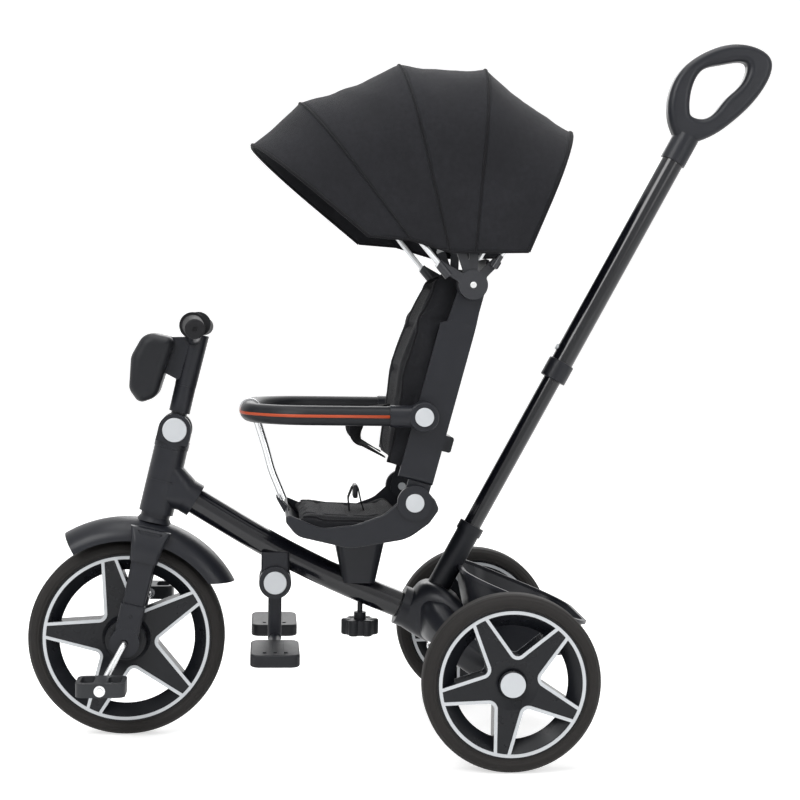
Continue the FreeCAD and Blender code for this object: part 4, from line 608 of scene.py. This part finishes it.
def canopy():
    specs = [("canopy_visor_cloth", 0, 1, 0.002, 0.0012, "canopy_visor", "canopy_front", None),
             ("canopy_front_cloth", 1, 2, 0.005, 0.003, "canopy_front_panel", "canopy_front", "canopy_second"),
             ("canopy_middle_cloth", 2, 3, 0.005, 0.004, "canopy_middle_panel", "canopy_second", "canopy_third"),
             ("canopy_rear_cloth", 3, 4, 0.005, 0.003, "canopy_rear_panel", "canopy_third", "backrest")]
    for name, first, second, sag, pucker, stands_for, body, other in specs:
        piece = panel(name, first, second, sag, pucker)
        one, two = arch(CLOTH_LINES[first]), arch(CLOTH_LINES[second])
        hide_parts(stands_for)
        hems = []
        for end in (0, ROUND):
            hems.append(piping(f"{name}_hem_{end}", [one[end].lerp(two[end], t / 12) for t in range(13)], 0.0019))
        hem = joined(name + "_hem", hems)
        if other:
            start, end = bisector(first, second)
            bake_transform(piece)
            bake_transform(hem)
        else:
            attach(piece, body)
            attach(hem, body)
    for name, index, body in (("visor_edge", 0, "canopy_front"), ("front_bow_seam", 1, "canopy_front"),
                              ("second_bow_seam", 2, "canopy_second"), ("third_bow_seam", 3, "canopy_third"),
                              ("rear_bow_seam", 4, "backrest")):
        radius = 0.0024 if index in (0, 4) else 0.0016
        seam = piping(name, arch(CLOTH_LINES[index]), radius)
        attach(seam, body)


# ---------------------------------------------------------------------------------------------------
# Straps, buckle and trims
# ---------------------------------------------------------------------------------------------------
def ribbon(name, route, half_width, thickness, material, twist=0.0):
    """A flat strap along a route, turned a little about its run halfway along."""
    points, uvs, faces = [], [], []
    run = 0.0
    for index, point in enumerate(route):
        if index:
            run += (point - route[index - 1]).length
        tangent = (route[min(index + 1, len(route) - 1)] - route[max(index - 1, 0)]).normalized()
        across = Matrix.Rotation(twist * math.sin(math.pi * index / (len(route) - 1)), 3, tangent) @ Vector((1, 0, 0))
        for step in range(5):
            x = (step / 4 - 0.5) * 2 * half_width
            points.append(point + across * x)
            uvs.append((x, run))
    for index in range(len(route) - 1):
        for step in range(4):
            a = index * 5 + step
            faces.append((a, a + 5, a + 6, a + 1))
    piece = from_mesh(name, points, faces, uvs)
    wall = piece.modifiers.new("strap_thickness", "SOLIDIFY")
    wall.thickness = thickness
    wall.offset = 0
    applied(piece)
    finish_with(piece, material)
    return piece, run


def straps():
    for sign in (-1, 1):
        corners = [at_back(u, w, sign * 0.052) for u, w in ((-0.058, 0.121), (-0.103, 0.1), (-0.107, 0.062), (-0.053, 0.048))]
        strap, run = ribbon(f"shoulder_strap_{sign}", rounded_line(corners, [0.016, 0.02]), 0.012, 0.0016, WEBBING, sign * 0.9)
        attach(strap, "backrest")
    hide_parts("harness_straps")
    low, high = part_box("crotch_strap")
    y, z = low[1], low[2]
    corners = [Vector((0, y + dy, z + dz)) for dy, dz in ((0.002, 0.0), (0.0, 0.02), (0.006, 0.036), (0.014, 0.0385), (0.02, 0.012), (0.024, 0.0))]
    strap, run = ribbon("crotch_webbing", rounded_line(corners, [0.012, 0.006, 0.004, 0.012]), 0.012, 0.0016, WEBBING)
    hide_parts("crotch_strap")
    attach(strap, "frame")
    bpy.ops.object.select_all(action="DESELECT")
    bpy.ops.mesh.primitive_cube_add(size=1, location=(0, y + 0.0105, z + 0.03))
    buckle = bpy.context.object
    buckle.name = "buckle"
    buckle.scale = (0.034, 0.007, 0.02)
    settled(buckle)
    round_over(buckle, 0.0024)
    finish_with(buckle, SATIN)
    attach(buckle, "frame")


def round_over(piece, width):
    bevel = piece.modifiers.new("round_over", "BEVEL")
    bevel.width = width
    bevel.segments = 3
    applied(piece)
    only(piece)
    bpy.ops.object.shade_smooth_by_angle(angle=math.radians(40))


def bar_inlay():
    """The coloured line let into the outer side of the safety bar."""
    low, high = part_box("safety_bar")
    radius = (high[2] - low[2]) / 2
    z = (high[2] + low[2]) / 2
    side = high[0] + 0.0002
    front = low[1] - 0.0002
    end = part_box("bar_hubs")[0][1] - 0.001
    corners = [Vector((side, end, z)), Vector((side, front, z)), Vector((-side, front, z)), Vector((-side, end, z))]
    route = rounded_line(corners, [0.085 + radius] * 2, 24)
    points, faces = [], []
    for point in route:
        for rise, sink in ((-0.0019, 0.0003), (-0.0009, 0.0), (0.0009, 0.0), (0.0019, 0.0003)):
            inward = Vector((-point.x, -(point.y - (front + 0.12)), 0)).normalized() * sink
            points.append(point + inward + Vector((0, 0, rise)))
    for index in range(len(route) - 1):
        for step in range(3):
            a = index * 4 + step
            faces.append((a, a + 4, a + 5, a + 1))
    piece = from_mesh("bar_inlay", points, faces)
    wall = piece.modifiers.new("inlay_depth", "SOLIDIFY")
    wall.thickness = 0.0012
    wall.offset = 0
    applied(piece)
    finish_with(piece, ORANGE)
    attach(piece, "safety_bar")


def screw_head(name, place, out, radius, body, material):
    """A domed screw head with a round recess."""
    bpy.ops.object.select_all(action="DESELECT")
    turn = Vector((0, 0, 1)).rotation_difference(out).to_euler()
    bpy.ops.mesh.primitive_cylinder_add(vertices=32, radius=radius, depth=0.0016, location=place, rotation=turn)
    screw = bpy.context.object
    screw.name = name
    bpy.ops.object.mode_set(mode="EDIT")
    bpy.ops.mesh.select_mode(type="FACE")
    bpy.ops.mesh.select_all(action="DESELECT")
    bpy.ops.object.mode_set(mode="OBJECT")
    for polygon in screw.data.polygons:
        polygon.select = polygon.normal.z > 0.9
    bpy.ops.object.mode_set(mode="EDIT")
    bpy.ops.mesh.inset(thickness=radius * 0.25, depth=radius * 0.12)
    bpy.ops.mesh.inset(thickness=radius * 0.35, depth=0)
    bpy.ops.mesh.inset(thickness=radius * 0.06, depth=-radius * 0.25)
    bpy.ops.object.mode_set(mode="OBJECT")
    settled(screw)
    bpy.ops.object.shade_smooth_by_angle(angle=math.radians(35))
    finish_with(screw, material)
    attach(screw, body)


def small_fittings():
    for side, sign in (("left", 1), ("right", -1)):
        out = Vector((sign, 0, 0))
        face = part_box("canopy_rear_bow")[1][0]
        screw_head(f"hub_screw_{side}", HUB + out * (face + 0.0004), out, 0.0045, "backrest", WHITE_DOT)
        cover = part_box("fork_covers")
        axle = Vector(JOINTS["front_wheel_spin"]["pos_m"])
        up = Vector(JOINTS["steer"]["axis"])
        screw_head(f"cover_screw_{side}", axle + up * 0.04 + out * (cover[1][0] - 0.0016), out, 0.0034, "steering", DEEP)


# ---------------------------------------------------------------------------------------------------
# Floor, lights and camera
# ---------------------------------------------------------------------------------------------------
def stage():
    bpy.ops.object.select_all(action="DESELECT")
    bpy.ops.mesh.primitive_circle_add(vertices=96, radius=5.5, fill_type="NGON", location=(0, 0, 0))
    floor = bpy.context.object
    floor.name = "studio_floor"
    bpy.ops.object.mode_set(mode="EDIT")
    bpy.ops.mesh.select_all(action="DESELECT")
    bpy.ops.mesh.select_mode(type="EDGE")
    bpy.ops.object.mode_set(mode="OBJECT")
    for edge in floor.data.edges:
        edge.select = True
    for face in floor.data.polygons:
        face.select = False
    bpy.ops.object.mode_set(mode="EDIT")
    for grow, rise in ((1.06, 0.05), (1.06, 0.2), (1.05, 0.5), (1.03, 1.2), (1.0, 4.0)):
        bpy.ops.mesh.extrude_edges_move(TRANSFORM_OT_translate={"value": (0, 0, rise)})
        bpy.ops.transform.resize(value=(grow, grow, 1))
    bpy.ops.object.mode_set(mode="OBJECT")
    material, tree, shader = new_material("pale_studio")
    shader.inputs["Base Color"].default_value = (0.8, 0.8, 0.8, 1)
    shader.inputs["Roughness"].default_value = 0.9
    path = node(tree, "ShaderNodeLightPath")
    seen = math_node(tree, "MAXIMUM", path.outputs["Is Camera Ray"], path.outputs["Is Glossy Ray"])
    glow = math_node(tree, "MULTIPLY", seen, 0.6)
    shader.inputs["Emission Color"].default_value = (1, 1, 1, 1)
    tree.links.new(glow, shader.inputs["Emission Strength"])
    finish_with(floor, material)
    world = bpy.data.worlds.new("studio")
    bpy.context.scene.world = world
    world.use_nodes = True
    back = world.node_tree.nodes["Background"]
    path = node(world.node_tree, "ShaderNodeLightPath")
    seen = math_node(world.node_tree, "MAXIMUM", path.outputs["Is Camera Ray"], path.outputs["Is Glossy Ray"])
    level = math_node(world.node_tree, "ADD", math_node(world.node_tree, "MULTIPLY", seen, 0.6), 0.4)
    world.node_tree.links.new(level, back.inputs["Strength"])
    back.inputs["Color"].default_value = (1, 1, 1, 1)
    for name, place, size, power in (("key", (2.4, -1.8, 2.6), 1.6, 62), ("fill", (2.6, 2.2, 1.4), 1.8, 26),
                                     ("top", (0.2, 0.0, 3.2), 2.2, 55), ("back", (-2.6, 0.3, 2.0), 2.0, 40)):
        light = bpy.data.lights.new(name, "AREA")
        light.size = size
        light.energy = power
        lamp = bpy.data.objects.new(name, light)
        bpy.context.scene.collection.objects.link(lamp)
        lamp.location = place
        aim = Vector((0, 0, 0.45)) - Vector(place)
        lamp.rotation_euler = aim.to_track_quat("-Z", "Y").to_euler()


def camera():
    data = bpy.data.cameras.new("camera")
    eye = bpy.data.objects.new("camera", data)
    bpy.context.scene.collection.objects.link(eye)
    bpy.context.scene.camera = eye
    data.sensor_width = 36
    data.lens = 77
    yaw, pitch, roll = math.radians(4.53), math.radians(-2.99), math.radians(0.86)
    aim = Vector((-math.cos(yaw) * math.cos(pitch), math.sin(yaw) * math.cos(pitch), math.sin(pitch)))
    eye.location = (2.555, -0.2046, 0.636)
    turn = aim.to_track_quat("-Z", "Y") @ Matrix.Rotation(roll, 3, "Z").to_quaternion()
    eye.rotation_mode = "QUATERNION"
    eye.rotation_quaternion = turn
    data.clip_start = 0.05


back_liner()
seat_liner()
canopy()
straps()
bar_inlay()
small_fittings()
stage()
camera()
bpy.context.scene.view_settings.view_transform = "Standard"
